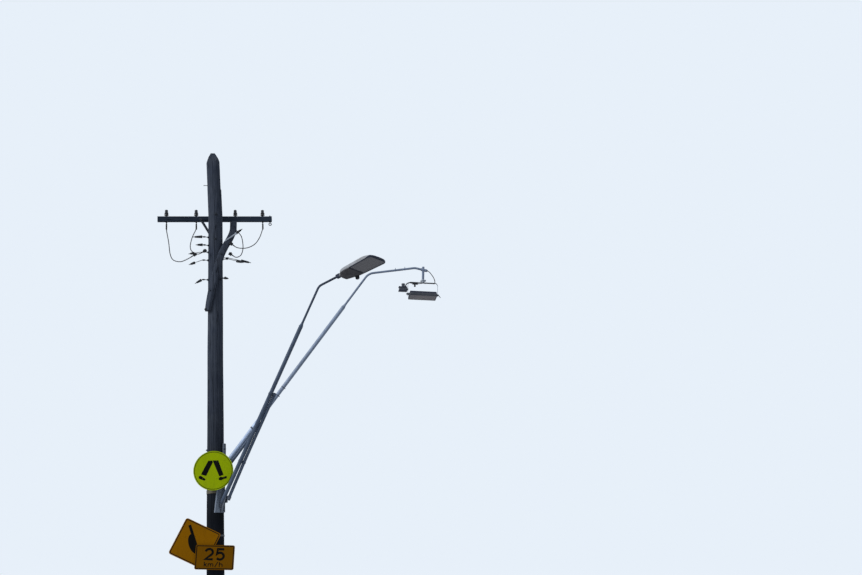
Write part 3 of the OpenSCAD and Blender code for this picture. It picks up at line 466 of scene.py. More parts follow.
# Strain rod: dull zinc, its clamp at the outer end
zinc_skin, gin, gout = vector_group("zinc_skin", ("Spangle", "Streak", "Soil"))
number_in(zinc_skin, "Spangle Size", 160.0)
cells = joined(zinc_skin, "ShaderNodeTexVoronoi", Vector=gin.outputs["Coordinate"], Scale=gin.outputs["Spangle Size"])
cell_grey = joined(zinc_skin, "ShaderNodeSeparateColor", Color=cells.outputs["Color"])
zinc_skin.links.new(cell_grey.outputs[0], gout.inputs["Spangle"])
upright = joined(zinc_skin, "ShaderNodeVectorMath", operation="MULTIPLY", i0=gin.outputs["Coordinate"],
                 i1=(1.0, 1.0, 0.12))
run = cloudy(zinc_skin, upright.outputs[0], 22.0, 5.0, 0.6)
zinc_skin.links.new(run, gout.inputs["Streak"])
soil_and_shade = cloudy(zinc_skin, gin.outputs["Coordinate"], 5.0, 6.0, 0.7)
zinc_skin.links.new(soil_and_shade, gout.inputs["Soil"])


def zinc(name, pale, soiled, rough=0.5, metallic=0.2, spangle=160.0):
    made, tree, shader, place = fresh_material(name, rough, metallic, 0.2)
    skin = grouped(tree, zinc_skin, place, Spangle_Size=spangle)
    spangled = ramp(tree, skin.outputs["Spangle"], (0.0, tuple(0.86 * c for c in pale)),
                    (1.0, tuple(min(1.12 * c, 1) for c in pale)))
    soiling = ramp(tree, skin.outputs["Soil"], (0.42, 0.0), (0.68, 1.0))
    base = blended(tree, "MIX", soiling, spangled, soiled)
    run_mask = ramp(tree, skin.outputs["Streak"], (0.5, 1.0), (0.72, 0.78))
    base = blended(tree, "MULTIPLY", 1.0, base, run_mask)
    fed(shader, Base_Color=base, Roughness=mapped(tree, skin.outputs["Streak"], 0.3, 0.7, rough - 0.08, rough + 0.2))
    bumped(tree, shader, skin.outputs["Soil"], 0.15, 0.001)
    return made


def shaded_above(material, low, high, dark, up=(0, 0, 1)):
    """Paints shade on a material: a dark colour mixed in above a height along up."""
    tree = material.node_tree
    base = tree.nodes["Principled BSDF"].inputs["Base Color"]
    place = tree.nodes.new("ShaderNodeTexCoord").outputs["Object"]
    level = joined(tree, "ShaderNodeVectorMath", operation="DOT_PRODUCT", i0=place, i1=tuple(up))
    above = mapped(tree, level.outputs["Value"], low, high)
    tree.links.new(blended(tree, "MIX", above, base.links[0].from_socket, dark), base)


def painted_light_below(material, low, high, gain):
    """Makes a material paler under a height: painted light where it lies in shade."""
    tree = material.node_tree
    base = tree.nodes["Principled BSDF"].inputs["Base Color"]
    place = tree.nodes.new("ShaderNodeTexCoord").outputs["Object"]
    level = joined(tree, "ShaderNodeSeparateXYZ", Vector=place)
    more = mapped(tree, level.outputs["Z"], low, high, gain, 1.0)
    paler = joined(tree, "ShaderNodeVectorMath", operation="SCALE", i0=base.links[0].from_socket, Scale=more)
    tree.links.new(paler.outputs[0], base)


bright_zinc = zinc("bright_zinc", (0.36, 0.40, 0.46), (0.25, 0.28, 0.32))
mid_zinc = zinc("dull_zinc", (0.110, 0.130, 0.165), (0.070, 0.080, 0.100), 0.55)
dark_zinc = zinc("soiled_zinc", (0.040, 0.048, 0.064), (0.024, 0.029, 0.038), 0.6)
channel_zinc = zinc("bracket_zinc", (0.190, 0.225, 0.280), (0.155, 0.185, 0.230))
dressed(bright_zinc, "strain_rod")


# Through bolts and coach screws
# Galvanised hexagon heads on square or round washers hold the crossarm, brace, strut, channel and bands.
# Each is drawn down on its washer; the tree below sets one on every marked place, along its own direction.
def growing_tree(name, source, *sizes):
    """An empty tree that takes a mesh, named sizes and a material."""
    tree = bpy.data.node_groups.new(name, "GeometryNodeTree")
    sockets = [("Geometry", "OUTPUT", "Geometry"), (source, "INPUT", "Geometry")]
    sockets += [(label, "INPUT", "Int" if label.endswith("Corners") else "Float") for label in sizes]
    for label, way, kind in sockets + [("Finish", "INPUT", "Material")]:
        tree.interface.new_socket(label, in_out=way, socket_type="NodeSocket" + kind)
    return tree, tree.nodes.new("NodeGroupInput"), tree.nodes.new("NodeGroupOutput")


def aimed(tree, shape, places):
    """A copy of a shape on every place, along its own direction."""
    aim = joined(tree, "GeometryNodeInputNamedAttribute", data_type="FLOAT_VECTOR", Name="aim")
    turn = joined(tree, "FunctionNodeAlignRotationToVector", axis="Z", Vector=aim.outputs["Attribute"])
    return joined(tree, "GeometryNodeInstanceOnPoints", Points=places, Instance=shape.outputs[0],
                  Rotation=turn.outputs[0])


def coated(tree, shape, finish, out):
    """Ends a tree: real geometry in the given material."""
    solid = joined(tree, "GeometryNodeRealizeInstances", Geometry=shape.outputs[0])
    done = joined(tree, "GeometryNodeSetMaterial", Geometry=solid.outputs[0], Material=finish)
    tree.links.new(done.outputs[0], out)


bolt_tree, gin, gout = growing_tree("bolt_on_washer", "Places", "Head Width", "Head Height", "Washer Width",
                                    "Washer Thickness", "Stub Length", "Washer Corners")


def raised(tree, shape, z):
    up = joined(tree, "ShaderNodeCombineXYZ", Z=z)
    return joined(tree, "GeometryNodeTransform", Geometry=shape.outputs["Mesh"], Translation=up.outputs[0])


HEX_CORNER = 0.5774
washer_t, head_t, stub_t = [gin.outputs[label] for label in ("Washer Thickness", "Head Height", "Stub Length")]
half_head = sums(bolt_tree, "MULTIPLY", gin.outputs["Head Width"], HEX_CORNER)
half_washer = sums(bolt_tree, "MULTIPLY", gin.outputs["Washer Width"], 0.5)
washer = joined(bolt_tree, "GeometryNodeMeshCylinder", Vertices=gin.outputs["Washer Corners"], Radius=half_washer,
                Depth=washer_t)
washer = raised(bolt_tree, washer, sums(bolt_tree, "MULTIPLY", washer_t, 0.5))
head = joined(bolt_tree, "GeometryNodeMeshCylinder", Vertices=6, Radius=half_head, Depth=head_t)
head = raised(bolt_tree, head, sums(bolt_tree, "ADD", washer_t, sums(bolt_tree, "MULTIPLY", head_t, 0.5)))
dome = joined(bolt_tree, "GeometryNodeMeshCone", Vertices=18, Radius_Top=sums(bolt_tree, "MULTIPLY", half_head, 0.72),
              Radius_Bottom=sums(bolt_tree, "MULTIPLY", half_head, 0.86),
              Depth=sums(bolt_tree, "MULTIPLY", head_t, 0.16))
dome_z = sums(bolt_tree, "ADD", washer_t, head_t)
dome = raised(bolt_tree, dome, dome_z)
stub = joined(bolt_tree, "GeometryNodeMeshCylinder", Vertices=16, Radius=sums(bolt_tree, "MULTIPLY", half_head, 0.5),
              Depth=stub_t)
stub = raised(bolt_tree, stub, sums(bolt_tree, "ADD", dome_z, sums(bolt_tree, "MULTIPLY", stub_t, 0.5)))
both = bolt_tree.nodes.new("GeometryNodeJoinGeometry")
for part in (stub, dome, head, washer):
    bolt_tree.links.new(part.outputs[0], both.inputs[0])
coated(bolt_tree, aimed(bolt_tree, both, gin.outputs["Places"]), gin.outputs["Finish"], gout.inputs[0])


def grown(name, tree, mesh, finish, **sizes):
    """Runs a tree on a mesh of places and keeps the result as a plain piece."""
    holder = bpy.data.objects.new(name + "_places", mesh)
    bpy.context.scene.collection.objects.link(holder)
    live = holder.modifiers.new("grown", "NODES")
    live.node_group = tree
    wanted = {key.replace("_", " "): value for key, value in sizes.items()}
    wanted["Finish"] = finish
    for socket in tree.interface.items_tree:
        if socket.in_out == "INPUT" and socket.name in wanted:
            live[socket.identifier] = wanted[socket.name]
    bpy.context.view_layer.update()
    result = bpy.data.meshes.new_from_object(holder.evaluated_get(bpy.context.evaluated_depsgraph_get()))
    holder.modifiers.clear()
    bpy.data.objects.remove(holder)
    result.name = name
    made = bpy.data.objects.new(name, result)
    bpy.context.scene.collection.objects.link(made)
    if not result.materials:
        result.materials.append(finish)
    return made


def aimed_places(name, places):
    """A mesh of (place, direction) pairs."""
    mesh = bpy.data.meshes.new(name)
    mesh.from_pydata([p for p, _ in places], [], [])
    aims = mesh.attributes.new("aim", "FLOAT_VECTOR", "POINT")
    aims.data.foreach_set("vector", [c for _, way in places for c in Vector(way).normalized()])
    return mesh


def bolts(name, places, finish, head, height, washer, corners, stub, body="pole"):
    """Bolt heads at (place, direction) pairs; sizes of the head, the washer and the bare end."""
    made = grown(name, bolt_tree, aimed_places(name, places), finish, Head_Width=head, Head_Height=height,
                 Washer_Width=washer, Washer_Thickness=min(0.005, 0.09 * washer), Stub_Length=stub,
                 Washer_Corners=corners)
    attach(made, body)
    return made


def on_pole(z, degrees, out=0.0):
    """A place on the pole's surface and the way out of it."""
    way = Vector((cos(radians(degrees)), sin(radians(degrees)), 0))
    return Vector((pole_centre(z), 0, z)) + way * (pole_radius(z) + out), way


BEAM_DEEP = 0.041
BEAM_Y = pole_radius(BEAM_Z) - BEAM_SEAT + BEAM_DEEP
bolts("crossarm_bolts", [on_pole(BEAM_Z, -88, -0.004)], dark_iron, 0.036, 0.020, 0.075, 4, 0.03)
# Its far end, a low head let down into the timber
bolts("crossarm_bolt_far", [((0.0, BEAM_Y + 0.0385, BEAM_Z), (0, 1, 0))],
      dark_iron, 0.036, 0.0024, 0.050, 24, 0.0003)
bolts("brace_bolts", [((-0.283, BEAM_Y - 0.0472, 9.119), (0, -1, 0)),
                      ((0.0, pole_radius(BRACE_Z) + 0.002, BRACE_Z), (0, 1, 0)),
                      (on_pole(BRACE_Z, -92, -0.003)[0], (0, -1, 0))],
      dark_iron, 0.026, 0.014, 0.046, 32, 0.012)

# Bolts through the strut, square washers sunk a little in its face
strut_bolts = []
for i, shift in ((56, 0.0), (84, 0.012), (104, -0.01)):
    p = strut_line[i]
    out = strut_outward(p)
    strut_bolts.append((Vector(p + out * (STRUT_T / 2 - 0.004) + np.array((shift, 0, 0))), Vector(out)))
bolts("strut_bolts", strut_bolts, dark_iron, 0.030, 0.016, 0.070, 4, 0.014)


# Insulators
# Four pin insulators with a dark glaze screwed on steel pins through the crossarm.
# The glaze is glassy, with faint dusty patches.
dark_glaze, tree, shader, place = fresh_material("dark_glaze", 0.22, specular=0.3)
haze = cloudy(tree, place, 34.0, 4.0)
fed(shader, Base_Color=ramp(tree, haze, (0.3, (0.008, 0.010, 0.014)), (0.7, (0.018, 0.021, 0.027))))
fed(shader, Roughness=mapped(tree, haze, 0.35, 0.7, 0.12, 0.38))
shader.inputs["Coat Weight"].default_value = 0.1
dressed(dark_glaze, "insulators")

# Tie wire wound in the side groove of each insulator
BEAM_TILT, BEAM_MIDDLE = radians(0.8), -0.004
INSULATORS_X = (-0.991, -0.388, 0.414, 0.980)
GROOVE_R, PIN_OVER, GROOVE_UP = 0.0305, 0.026, 0.079


def tube_faces(line, radius, sides, closed=False):
    """Rings round a line of points; radius may be a function of the step."""
    rings, ref = [], Vector((0, 0, 1))
    n = len(line)
    for i, p in enumerate(line):
        a = Vector(line[(i + 1) % n if closed else min(i + 1, n - 1)])
        b = Vector(line[(i - 1) % n if closed else max(i - 1, 0)])
        way = (a - b).normalized()
        if i == 0:
            ref = Vector((0, 0, 1)) if abs(way.z) < 0.9 else Vector((0, 1, 0))
        side = (ref - ref.dot(way) * way).normalized()
        ref = side
        up = way.cross(side)
        r = float(radius(i) if callable(radius) else radius)
        rings.append([tuple(Vector(p) + r * (side * cos(2 * pi * j / sides) + up * sin(2 * pi * j / sides)))
                      for j in range(sides)])
    return rings


def closed_ring(line, radius, sides=8):
    """A round bar bent to a closed ring."""
    rings = tube_faces(line, radius, sides, True)
    return loft(rings + [rings[0]], False)


def around(n):
    """Equal steps of a full turn."""
    return np.linspace(0, 2 * pi, n, endpoint=False)


def many(name, parts, material, body="pole", smooth=True):
    """One piece from several lists of verts and faces."""
    verts, faces = [], []
    for v, f in parts:
        base = len(verts)
        verts += [tuple(p) for p in v]
        faces += [tuple(i + base for i in face) for face in f]
    made = object_of(name, verts, faces, material, smooth)
    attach(made, body)
    return made


def on_beam(x, z):
    tilt_x, tilt_z = cos(BEAM_TILT), sin(BEAM_TILT)
    return Vector((BEAM_MIDDLE + x * tilt_x - z * tilt_z, BEAM_Y, BEAM_Z + x * tilt_z + z * tilt_x))


ties = []
for x in INSULATORS_X:
    hub = on_beam(x, BEAM_HALF + PIN_OVER + GROOVE_UP)
    for up in (-0.002, 0.002):
        line = [hub + Vector((GROOVE_R * cos(a), GROOVE_R * sin(a), up)) for a in around(28)]
        ties.append(closed_ring(line, 0.0022))
many("tie_wires", ties, mid_zinc)


# Service clamps, connectors and bridging cables
# Black wedge clamps hang from hooks round the pole, their jaws closed on short tails.
# Bridging cables drop from the insulators in loose loops to piercing connectors with ribbed nylon bodies.
def mottled(name, rough, scale, detail, low, high, bump, depth=0.0004):
    """A plain finish that wanders between two colours, each given with its mark on the ramp."""
    made, tree, shader, place = fresh_material(name, rough)
    patches = cloudy(tree, place, scale, detail)
    fed(shader, Base_Color=ramp(tree, patches, low, high))
    bumped(tree, shader, patches, bump, depth)
    return made


black_nylon = mottled("black_nylon", 0.55, 60.0, 4.0, (0.35, (0.010, 0.011, 0.013)), (0.75, (0.035, 0.037, 0.042)),
                      0.2, 0.0005)
black_cable = mottled("sunned_rubber", 0.72, 18.0, 3.0, (0.3, (0.013, 0.014, 0.017)), (0.7, (0.030, 0.031, 0.035)),
                      0.1, 0.0005)
dressed(black_nylon, "strain_clamps", "cable_connectors", "flood_joiner", "lamp_sensor")

PIN_END = -BEAM_HALF - 0.062
loops = (
    [(-0.985, 0.130, 8.860), (-0.940, 0.060, 8.600), (-0.905, 0, 8.330), (-0.840, -0.040, 8.190),
     (-0.700, -0.050, 8.150), (-0.560, -0.040, 8.210), (-0.440, -0.036, 8.290)],
    [(-0.400, 0.130, 8.900), (-0.470, 0.040, 8.700), (-0.505, -0.050, 8.480), (-0.465, -0.158, 8.335),
     (-0.345, -0.192, 8.270), (-0.240, -0.176, 8.330)],
    [(0.438, 0.196, 8.910), (0.530, 0.120, 8.760), (0.560, 0.030, 8.500), (0.520, 0.020, 8.330),
     (0.420, 0.010, 8.270), (0.330, 0, 8.320)],
    [(0.960, 0.140, 8.900), (0.900, 0.070, 8.720), (0.800, 0.010, 8.560), (0.640, -0.040, 8.460),
     (0.450, -0.100, 8.440), (0.340, -0.160, 8.490)])
parts, sleeves = [], []
for x, rest in zip(INSULATORS_X, loops):
    start = on_beam(x, PIN_END)
    line = through([start, start - Vector((0, 0, 0.040))] + [Vector(p) for p in rest], 12)
    parts.append(loft(tube_faces(line, 0.0088, 16)))
    # Ribbed cover on the pin's end, and a shrunk sleeve where the cable enters its connector
    cover = [start + Vector((0, 0, 0.004 - 0.003 * k)) for k in range(40)]
    sleeves.append(loft(tube_faces(cover, lambda k: 0.014 + 0.003 * (k % 4 < 2), 18)))
    sleeves.append(loft(tube_faces(line[-7:], 0.0112, 16)))
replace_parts(many("bridging_cables", parts, black_cable), "jumper_cables")
many("cable_sleeves", sleeves, black_nylon)


# Brackets, saddles and feet
# Two folded and galvanised channels stand on steel saddles, each held by two bolts through the pole.
# The arms' tubes sit in collars welded inside them, with a gusset under the lower one.
dressed(channel_zinc, "lower_bracket")
dressed(mid_zinc, "upper_bracket", "bracket_saddles", "arm_feet")
LOWER_AZ, UPPER_AZ = -67.0, -20.0
LOWER_X, UPPER_X = pole_radius(3.105) + 0.006, pole_radius(3.770) + 0.006
LOWER_BOLTS, UPPER_BOLTS = (3.215, 3.635), (3.880, 4.325)


def on_bracket(azimuth, x, y, z):
    a = radians(azimuth)
    return Vector((x * cos(a) - y * sin(a), x * sin(a) + y * cos(a), z)), Vector((cos(a), sin(a), 0))


bolts("bracket_bolts", [on_bracket(LOWER_AZ, LOWER_X + 0.0062, 0.0196, z) for z in LOWER_BOLTS]
      + [on_bracket(UPPER_AZ, UPPER_X + 0.0062, 0.0, z) for z in UPPER_BOLTS],
      mid_zinc, 0.030, 0.018, 0.056, 32, 0.016)
far_ends = [(z, LOWER_AZ) for z in LOWER_BOLTS] + [(z, UPPER_AZ) for z in UPPER_BOLTS]
bolts("bracket_far_nuts", [on_pole(z, a + 180, 0.0005) for z, a in far_ends], mid_zinc, 0.030, 0.020, 0.070, 4, 0.008)


def bead(name, line, radius, material, seed):
    """Weld bead: a wavy run of filler round a closed line."""
    wave = np.random.default_rng(seed).uniform(0.8, 1.25, len(line) + 1)
    many(name, [closed_ring(line, lambda i: radius * wave[i])], material)


def arm_frame(foot, azimuth, rise):
    """Place and axes of an arm: along it, across it, and up from it."""
    az, up = radians(-azimuth), radians(rise)
    along = Vector((cos(az) * cos(up), sin(az) * cos(up), sin(up)))
    lift = Vector((-cos(az) * sin(up), -sin(az) * sin(up), cos(up)))
    across = lift.cross(along)
    return Vector(foot), along, across, lift


def hoop(centre, a, b, radius, n=40):
    return [centre + a * (radius * cos(2 * pi * i / n)) + b * (radius * sin(2 * pi * i / n)) for i in range(n)]


ARM_A = arm_frame((0.1143, -0.1744, 3.2805), 50, 53.5)
ARM_B = arm_frame((0.1813, -0.0912, 4.0144), 20, 50.1)
TUBE_R, TIP_R, PIPE_R = 0.03015, 0.0212, 0.03805
COLLAR_TOP = 0.050
for name, (foot, along, across, lift) in (("weld_lamp_arm", ARM_A), ("weld_flood_arm", ARM_B)):
    bead(name, hoop(foot + along * COLLAR_TOP, across, lift, PIPE_R + 0.001, 60), 0.0042, mid_zinc, len(name))


# Outreach arms
# Each arm is galvanised steel pipe: a thick lower tube swaged down to a thinner one that is bent at its end.
# The street light's arm is darker than the floodlight's; the floodlight's thick pipe is given a paler colour as
# painted light, where the pole's shade falls on it.
lamp_tube = zinc("lamp_arm_zinc", (0.070, 0.096, 0.145), (0.052, 0.070, 0.105))
lamp_tip = zinc("lamp_arm_upper_zinc", (0.052, 0.072, 0.112), (0.040, 0.054, 0.082))
flood_tube = zinc("flood_arm_zinc", (0.215, 0.265, 0.360), (0.160, 0.200, 0.270))
flood_tip = zinc("flood_arm_upper_zinc", (0.150, 0.190, 0.270), (0.110, 0.140, 0.195))
# Painted shade darkens the street light's arm beyond its bend, and its spigot clamp, above 6.94 m
shaded_above(lamp_tip, 6.94, 7.08, (0.014, 0.018, 0.034))
# Painted light: the floodlight's thick pipe is paler below 5.2 m, where the pole's shade falls on it
painted_light_below(flood_tube, 4.70, 5.20, 1.9)
dressed(lamp_tip, "lamp_arm_upper", "lamp_spigot_clamp")
dressed(flood_tip, "flood_arm_upper", "flood_arm_tee")


def along_arm(arm, x, across=0.0, lift=0.0):
    return arm[0] + arm[1] * x + arm[2] * across + arm[3] * lift


# The thick pipes, each pressed down at its top to hold the thinner one
SWAGE, LAMP_PIPE_L, FLOOD_PIPE_L = 0.070, 3.783, 3.817
for name, arm, reach, finish, node in (("lamp_arm_pipe", ARM_A, LAMP_PIPE_L, lamp_tube, "lamp_arm_lower"),
                                       ("flood_arm_pipe", ARM_B, FLOOD_PIPE_L, flood_tube, "flood_arm_lower")):
    rings = []
    end = reach + SWAGE
    for t, r in ((0.0, PIPE_R), (0.02, PIPE_R), (1.9, PIPE_R), (reach, PIPE_R), (reach + 0.008, PIPE_R - 0.001),
                 (end - 0.020, TIP_R + 0.0045), (end - 0.006, TIP_R + 0.0028), (end, TIP_R + 0.0024),
                 (end, TIP_R - 0.001)):
        rings.append([tuple(p) for p in hoop(along_arm(arm, t), arm[2], arm[3], r, 48)])
    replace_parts(many(name, [loft(rings)], finish), node)

# Welds at the swages, and the run of filler round each
for name, arm, at, finish in (("swage_weld_lamp", ARM_A, LAMP_PIPE_L, lamp_tube),
                              ("swage_weld_flood", ARM_B, FLOOD_PIPE_L, flood_tube)):
    bead(name, hoop(along_arm(arm, at + 0.001), arm[2], arm[3], PIPE_R + 0.0004, 60), 0.0032, finish, 5)
    bead(name + "_upper", hoop(along_arm(arm, at + SWAGE), arm[2], arm[3], TIP_R + 0.0012, 60), 0.0030, finish, 8)


# Stays and their clamps
# A second pipe of the same size runs under the foot of each arm and stiffens it.
# Forged blocks clip it to the arm, drawn together by a bolt on each side.
STAY_WALL, BLOCK_W, BLOCK_WALL = 0.0032, 0.030, 0.005
# Points along, across and above the arm; the long stay is drawn in by its clamps
A_STAY = ((0.120, 0.0740, -0.0520), (0.900, 0.0575, -0.0455), (1.600, 0.0545, -0.0445), (2.400, 0.0532, -0.0443))
B_STAY = ((-0.086, 0.0, -0.0730), (1.050, 0.0, -0.0695))
pipes, blocks, places = [], [], []
for arm, stay, stops in ((ARM_A, A_STAY, (0.900, 2.345)), (ARM_B, B_STAY, (0.858,))):
    line = [along_arm(arm, *(float(c) for c in p)) for p in through(stay, 10)]
    rings = tube_faces(line, TUBE_R, 40)
    end, way = line[-1], (line[-1] - line[-2]).normalized()
    # Open upper end, showing the pipe's wall
    bore = [end + (Vector(p) - end) * (1 - STAY_WALL / TUBE_R) for p in rings[-1]]
    rings += [[tuple(p) for p in bore], [tuple(p - way * 0.150) for p in bore]]
    pipes.append(loft(rings))
    for x in stops:
        over, below = [float(np.interp(x + BLOCK_W / 2, [p[0] for p in stay], [p[k] for p in stay])) for k in (1, 2)]
        apart = sqrt(over ** 2 + below ** 2)
        away = (arm[2] * over + arm[3] * below).normalized()
        beside = arm[1].cross(away)
        rings = []
        for t, less in ((0.0, 0.002), (0.002, 0.0), (BLOCK_W - 0.002, 0.0), (BLOCK_W, 0.002)):
            far, near = TUBE_R + BLOCK_WALL - less, PIPE_R + BLOCK_WALL - less
            turns = [pi * k / 18 - pi / 2 for k in range(19)]
            ring = [along_arm(arm, x + t) + away * (apart + far * cos(a)) + beside * (far * sin(a)) for a in turns]
            ring += [along_arm(arm, x + t) - away * (near * cos(a)) - beside * (near * sin(a)) for a in turns]
            rings.append([tuple(p) for p in ring])
        blocks.append(loft(rings))
        middle = along_arm(arm, x + BLOCK_W / 2) + away * (apart / 2)
        for s in (-1, 1):
            places.append((middle + beside * (s * ((TUBE_R + PIPE_R) / 2 + BLOCK_WALL)), beside * s))
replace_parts(many("stay_pipes", pipes, lamp_tube), "arm_stays")
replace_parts(many("stay_blocks", blocks, lamp_tip), "stay_clamps")
bolts("stay_clamp_bolts", places, dark_zinc, 0.016, 0.010, 0.024, 24, 0.008)

# Two small cable clips on the underside of the floodlight's arm
CLIP_R = PIPE_R + 0.0022
clip_parts = []
for x in (1.667, 1.855):
    centre = along_arm(ARM_B, x)
    line = [centre + ARM_B[2] * (CLIP_R * cos(a)) + ARM_B[3] * (CLIP_R * sin(a)) for a in around(36)]
    clip_parts += [closed_ring([p + ARM_B[1] * step for p in line], 0.0030) for step in (0.0, 0.006)]
    lug = [centre + ARM_B[1] * 0.003 - ARM_B[3] * (PIPE_R + 0.002 + 0.017 * t) for t in np.linspace(0, 1, 8)]
    clip_parts.append(loft(tube_faces(lug, lambda i: 0.006 + 0.002 * sin(i), 14)))
many("arm_clips", clip_parts, dark_zinc)


# Street light
# A die-cast aluminium head, powder coated light grey, clamped on its arm's end.
# Its underside is dusty: a dished gear door at the neck and a flat cover over the lamps at the nose.
LAMP_TURN, LAMP_ROLL, LAMP_TIP_L, SPIGOT_L = radians(44.2), radians(-4), 0.834, 0.514
foot, along, across, lift = ARM_A
flat = along * cos(LAMP_TURN) - lift * sin(LAMP_TURN)
rise = along * sin(LAMP_TURN) + lift * cos(LAMP_TURN)
lamp_origin = foot + along * (LAMP_PIPE_L + LAMP_TIP_L) + flat * SPIGOT_L
# The head's own axes, rolled a little about its length
lamp_axes = Matrix((flat, across * cos(LAMP_ROLL) + rise * sin(LAMP_ROLL),
                    rise * cos(LAMP_ROLL) - across * sin(LAMP_ROLL))).transposed()


def on_lamp(x, y, z):
    return lamp_origin + lamp_axes @ Vector((x, y, z))


lamp_coat, tree, shader, place = fresh_material("lamp_powder_coat", 0.5)
orange = cloudy(tree, place, 380.0, 2.0)
grime = cloudy(tree, place, 7.0, 6.0, 0.65)
base = ramp(tree, grime, (0.36, (0.34, 0.355, 0.38)), (0.62, (0.23, 0.235, 0.245)))
fed(shader, Base_Color=base)
bumped(tree, shader, orange, 0.12, 0.0004)

underside, tree, shader, place = fresh_material("dusty_underside", 0.7)
dust = cloudy(tree, place, 13.0, 7.0, 0.7)
web = cloudy(tree, place, 160.0, 3.0)
base = ramp(tree, dust, (0.34, (0.040, 0.038, 0.042)), (0.55, (0.066, 0.063, 0.068)), (0.75, (0.090, 0.086, 0.090)))
base = blended(tree, "MULTIPLY", 0.5, base, ramp(tree, web, (0.35, 0.7), (0.65, 1.0)))
fed(shader, Base_Color=base)
bumped(tree, shader, web, 0.2, 0.0006)

lamp_cover, tree, shader, place = fresh_material("dusty_lamp_cover", 0.4, specular=0.3)
dust = cloudy(tree, place, 9.0, 6.0, 0.68)
base = ramp(tree, dust, (0.32, (0.080, 0.078, 0.086)), (0.7, (0.130, 0.126, 0.134)))
fed(shader, Base_Color=base, Roughness=mapped(tree, dust, 0.3, 0.7, 0.22, 0.6))
dressed(underside, "lamp_gear_door")
dressed(lamp_cover, "lamp_lens")

# Width, lowest and highest level, start of the tail, length, and where the cover begins
LAMP_W, LAMP_LOW, LAMP_TOP, TAIL_X, HEAD_L, COVER_X = 0.446, -0.073, 0.023, 0.040, 0.960, 0.446


def lamp_half_width(x):
    """Half of the head's plan at x."""
    w = LAMP_W
    marks = ((TAIL_X, 0.038), (0.090, 0.070), (0.180, 0.34 * w), (0.260, 0.41 * w), (0.330, 0.44 * w),
             (0.440, 0.46 * w), (0.900, w / 2), (0.940, w / 2 - 0.005), (0.966, w / 2 - 0.024),
             (0.984, w / 2 - 0.064), (0.995, w / 4), (1.000, 0))
    return float(np.interp(x, *zip(*marks)))


# Housing: a rim at the full plan, a flank over it and a long slope from the back down to the nose
def lamp_under(x):
    return float(np.interp(x, (TAIL_X, 0.180, COVER_X), (-0.030, -0.046, LAMP_LOW)))


def lamp_ring(tail, nose, wide, z, inset=0.0):
    """One level of the head: its plan squeezed between tail and nose."""
    ring = []
    for t in np.concatenate((np.linspace(0.0, 0.86, 26), 0.86 + 0.14 * np.sin(np.linspace(0.12, pi / 2, 16)))):
        x = TAIL_X + HEAD_L * float(t)
        ring.append((x, max(0.0005, lamp_half_width(x) - inset) * wide))
    ring += [(x, -y) for x, y in reversed(ring)]
    out = []
    for x, y in ring:
        share = (x - TAIL_X) / HEAD_L
        px = tail + (nose - tail) * share - inset * (share > 0.9)
        deep = (LAMP_TOP - z) * (LAMP_TOP - lamp_under(px)) / (LAMP_TOP - LAMP_LOW)
        out.append(tuple(on_lamp(px, y, LAMP_TOP - deep)))
    return out


rings = [lamp_ring(*level) for level in (
    (0.046, 1.0, 1.0, -0.0700, 0.013), (0.044, 1.0, 1.0, LAMP_LOW, 0.013), (0.041, 1.0, 1.0, LAMP_LOW, 0.002),
    (0.040, 1.0, 1.0, -0.0715), (0.040, 1.0, 1.0, -0.0400), (0.042, 0.985, 1.0, -0.0345),
    (0.048, 0.930, 0.998, -0.0200), (0.060, 0.875, 0.965, -0.0060), (0.100, 0.830, 0.890, 0.0060),
    (0.160, 0.785, 0.760, 0.0155), (0.240, 0.740, 0.600, 0.0210), (0.330, 0.680, 0.400, LAMP_TOP))]
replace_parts(many("lamp_head", [loft(rings)], lamp_coat), "lamp_housing")

# Dark frame that carries the cover, turned up a little along the sides and higher round the nose. Its dark colour is
# partly the frame's own coat and partly painted shade: round the nose it covers the wall that lies in shade.
frame_coat_and_shade = mottled("lamp_frame_coat", 0.6, 40.0, 5.0, (0.35, (0.016, 0.021, 0.036)), (0.7, (0.030, 0.036, 0.055)),
                     0.1)
steps = np.concatenate((np.linspace(0, 0.80, 18), 0.80 + 0.20 * np.sin(np.linspace(0.1, pi / 2, 16))))
edge_line = [(x, lamp_half_width(x)) for x in (COVER_X + (1 - COVER_X) * float(t) for t in steps)]
edge_line += [(x, -y) for x, y in reversed(edge_line)]
rings = []
for x, y in edge_line:
    w = lamp_half_width(x)
    rise_by = 0.006 + 0.027 * min(1.0, max(0.0, (x - 0.86) / 0.10))
    inwards = Vector((-0.35 if x > 0.93 else 0.0, -1.0 if y > 0 else 1.0))
    if x > 0.985:
        inwards = Vector((-1.0, -0.5 * (1 if y > 0 else -1) * min(1.0, w / 0.08)))
    inwards.normalize()
    section = ((0.016, -0.0722), (0.016, -0.0752), (0.002, -0.0756), (-0.0011, -0.0735),
               (-0.0011, LAMP_LOW + rise_by), (0.003, -0.0722 + rise_by))
    rings.append([tuple(on_lamp(x + inwards.x * d, y + inwards.y * d, z)) for d, z in section])
rings.append(rings[0])
many("lamp_cover_frame", [loft(rings, False)], frame_coat_and_shade)

# Rolled rim round the cover, standing a little below it
RIM_IN = 0.017
xs = [COVER_X + (0.988 - RIM_IN - COVER_X) * (1 - (1 - t) ** 2.2) for t in np.linspace(0, 1, 24)]
right = [(x, lamp_half_width(x + RIM_IN * 0.3) - RIM_IN) for x in xs]
rim_line = [on_lamp(x, y, -0.0725) for x, y in right + [(x, -y) for x, y in reversed(right)]]
many("lamp_cover_gasket", [closed_ring(rim_line, 0.0046, 10)], frame_coat_and_shade)

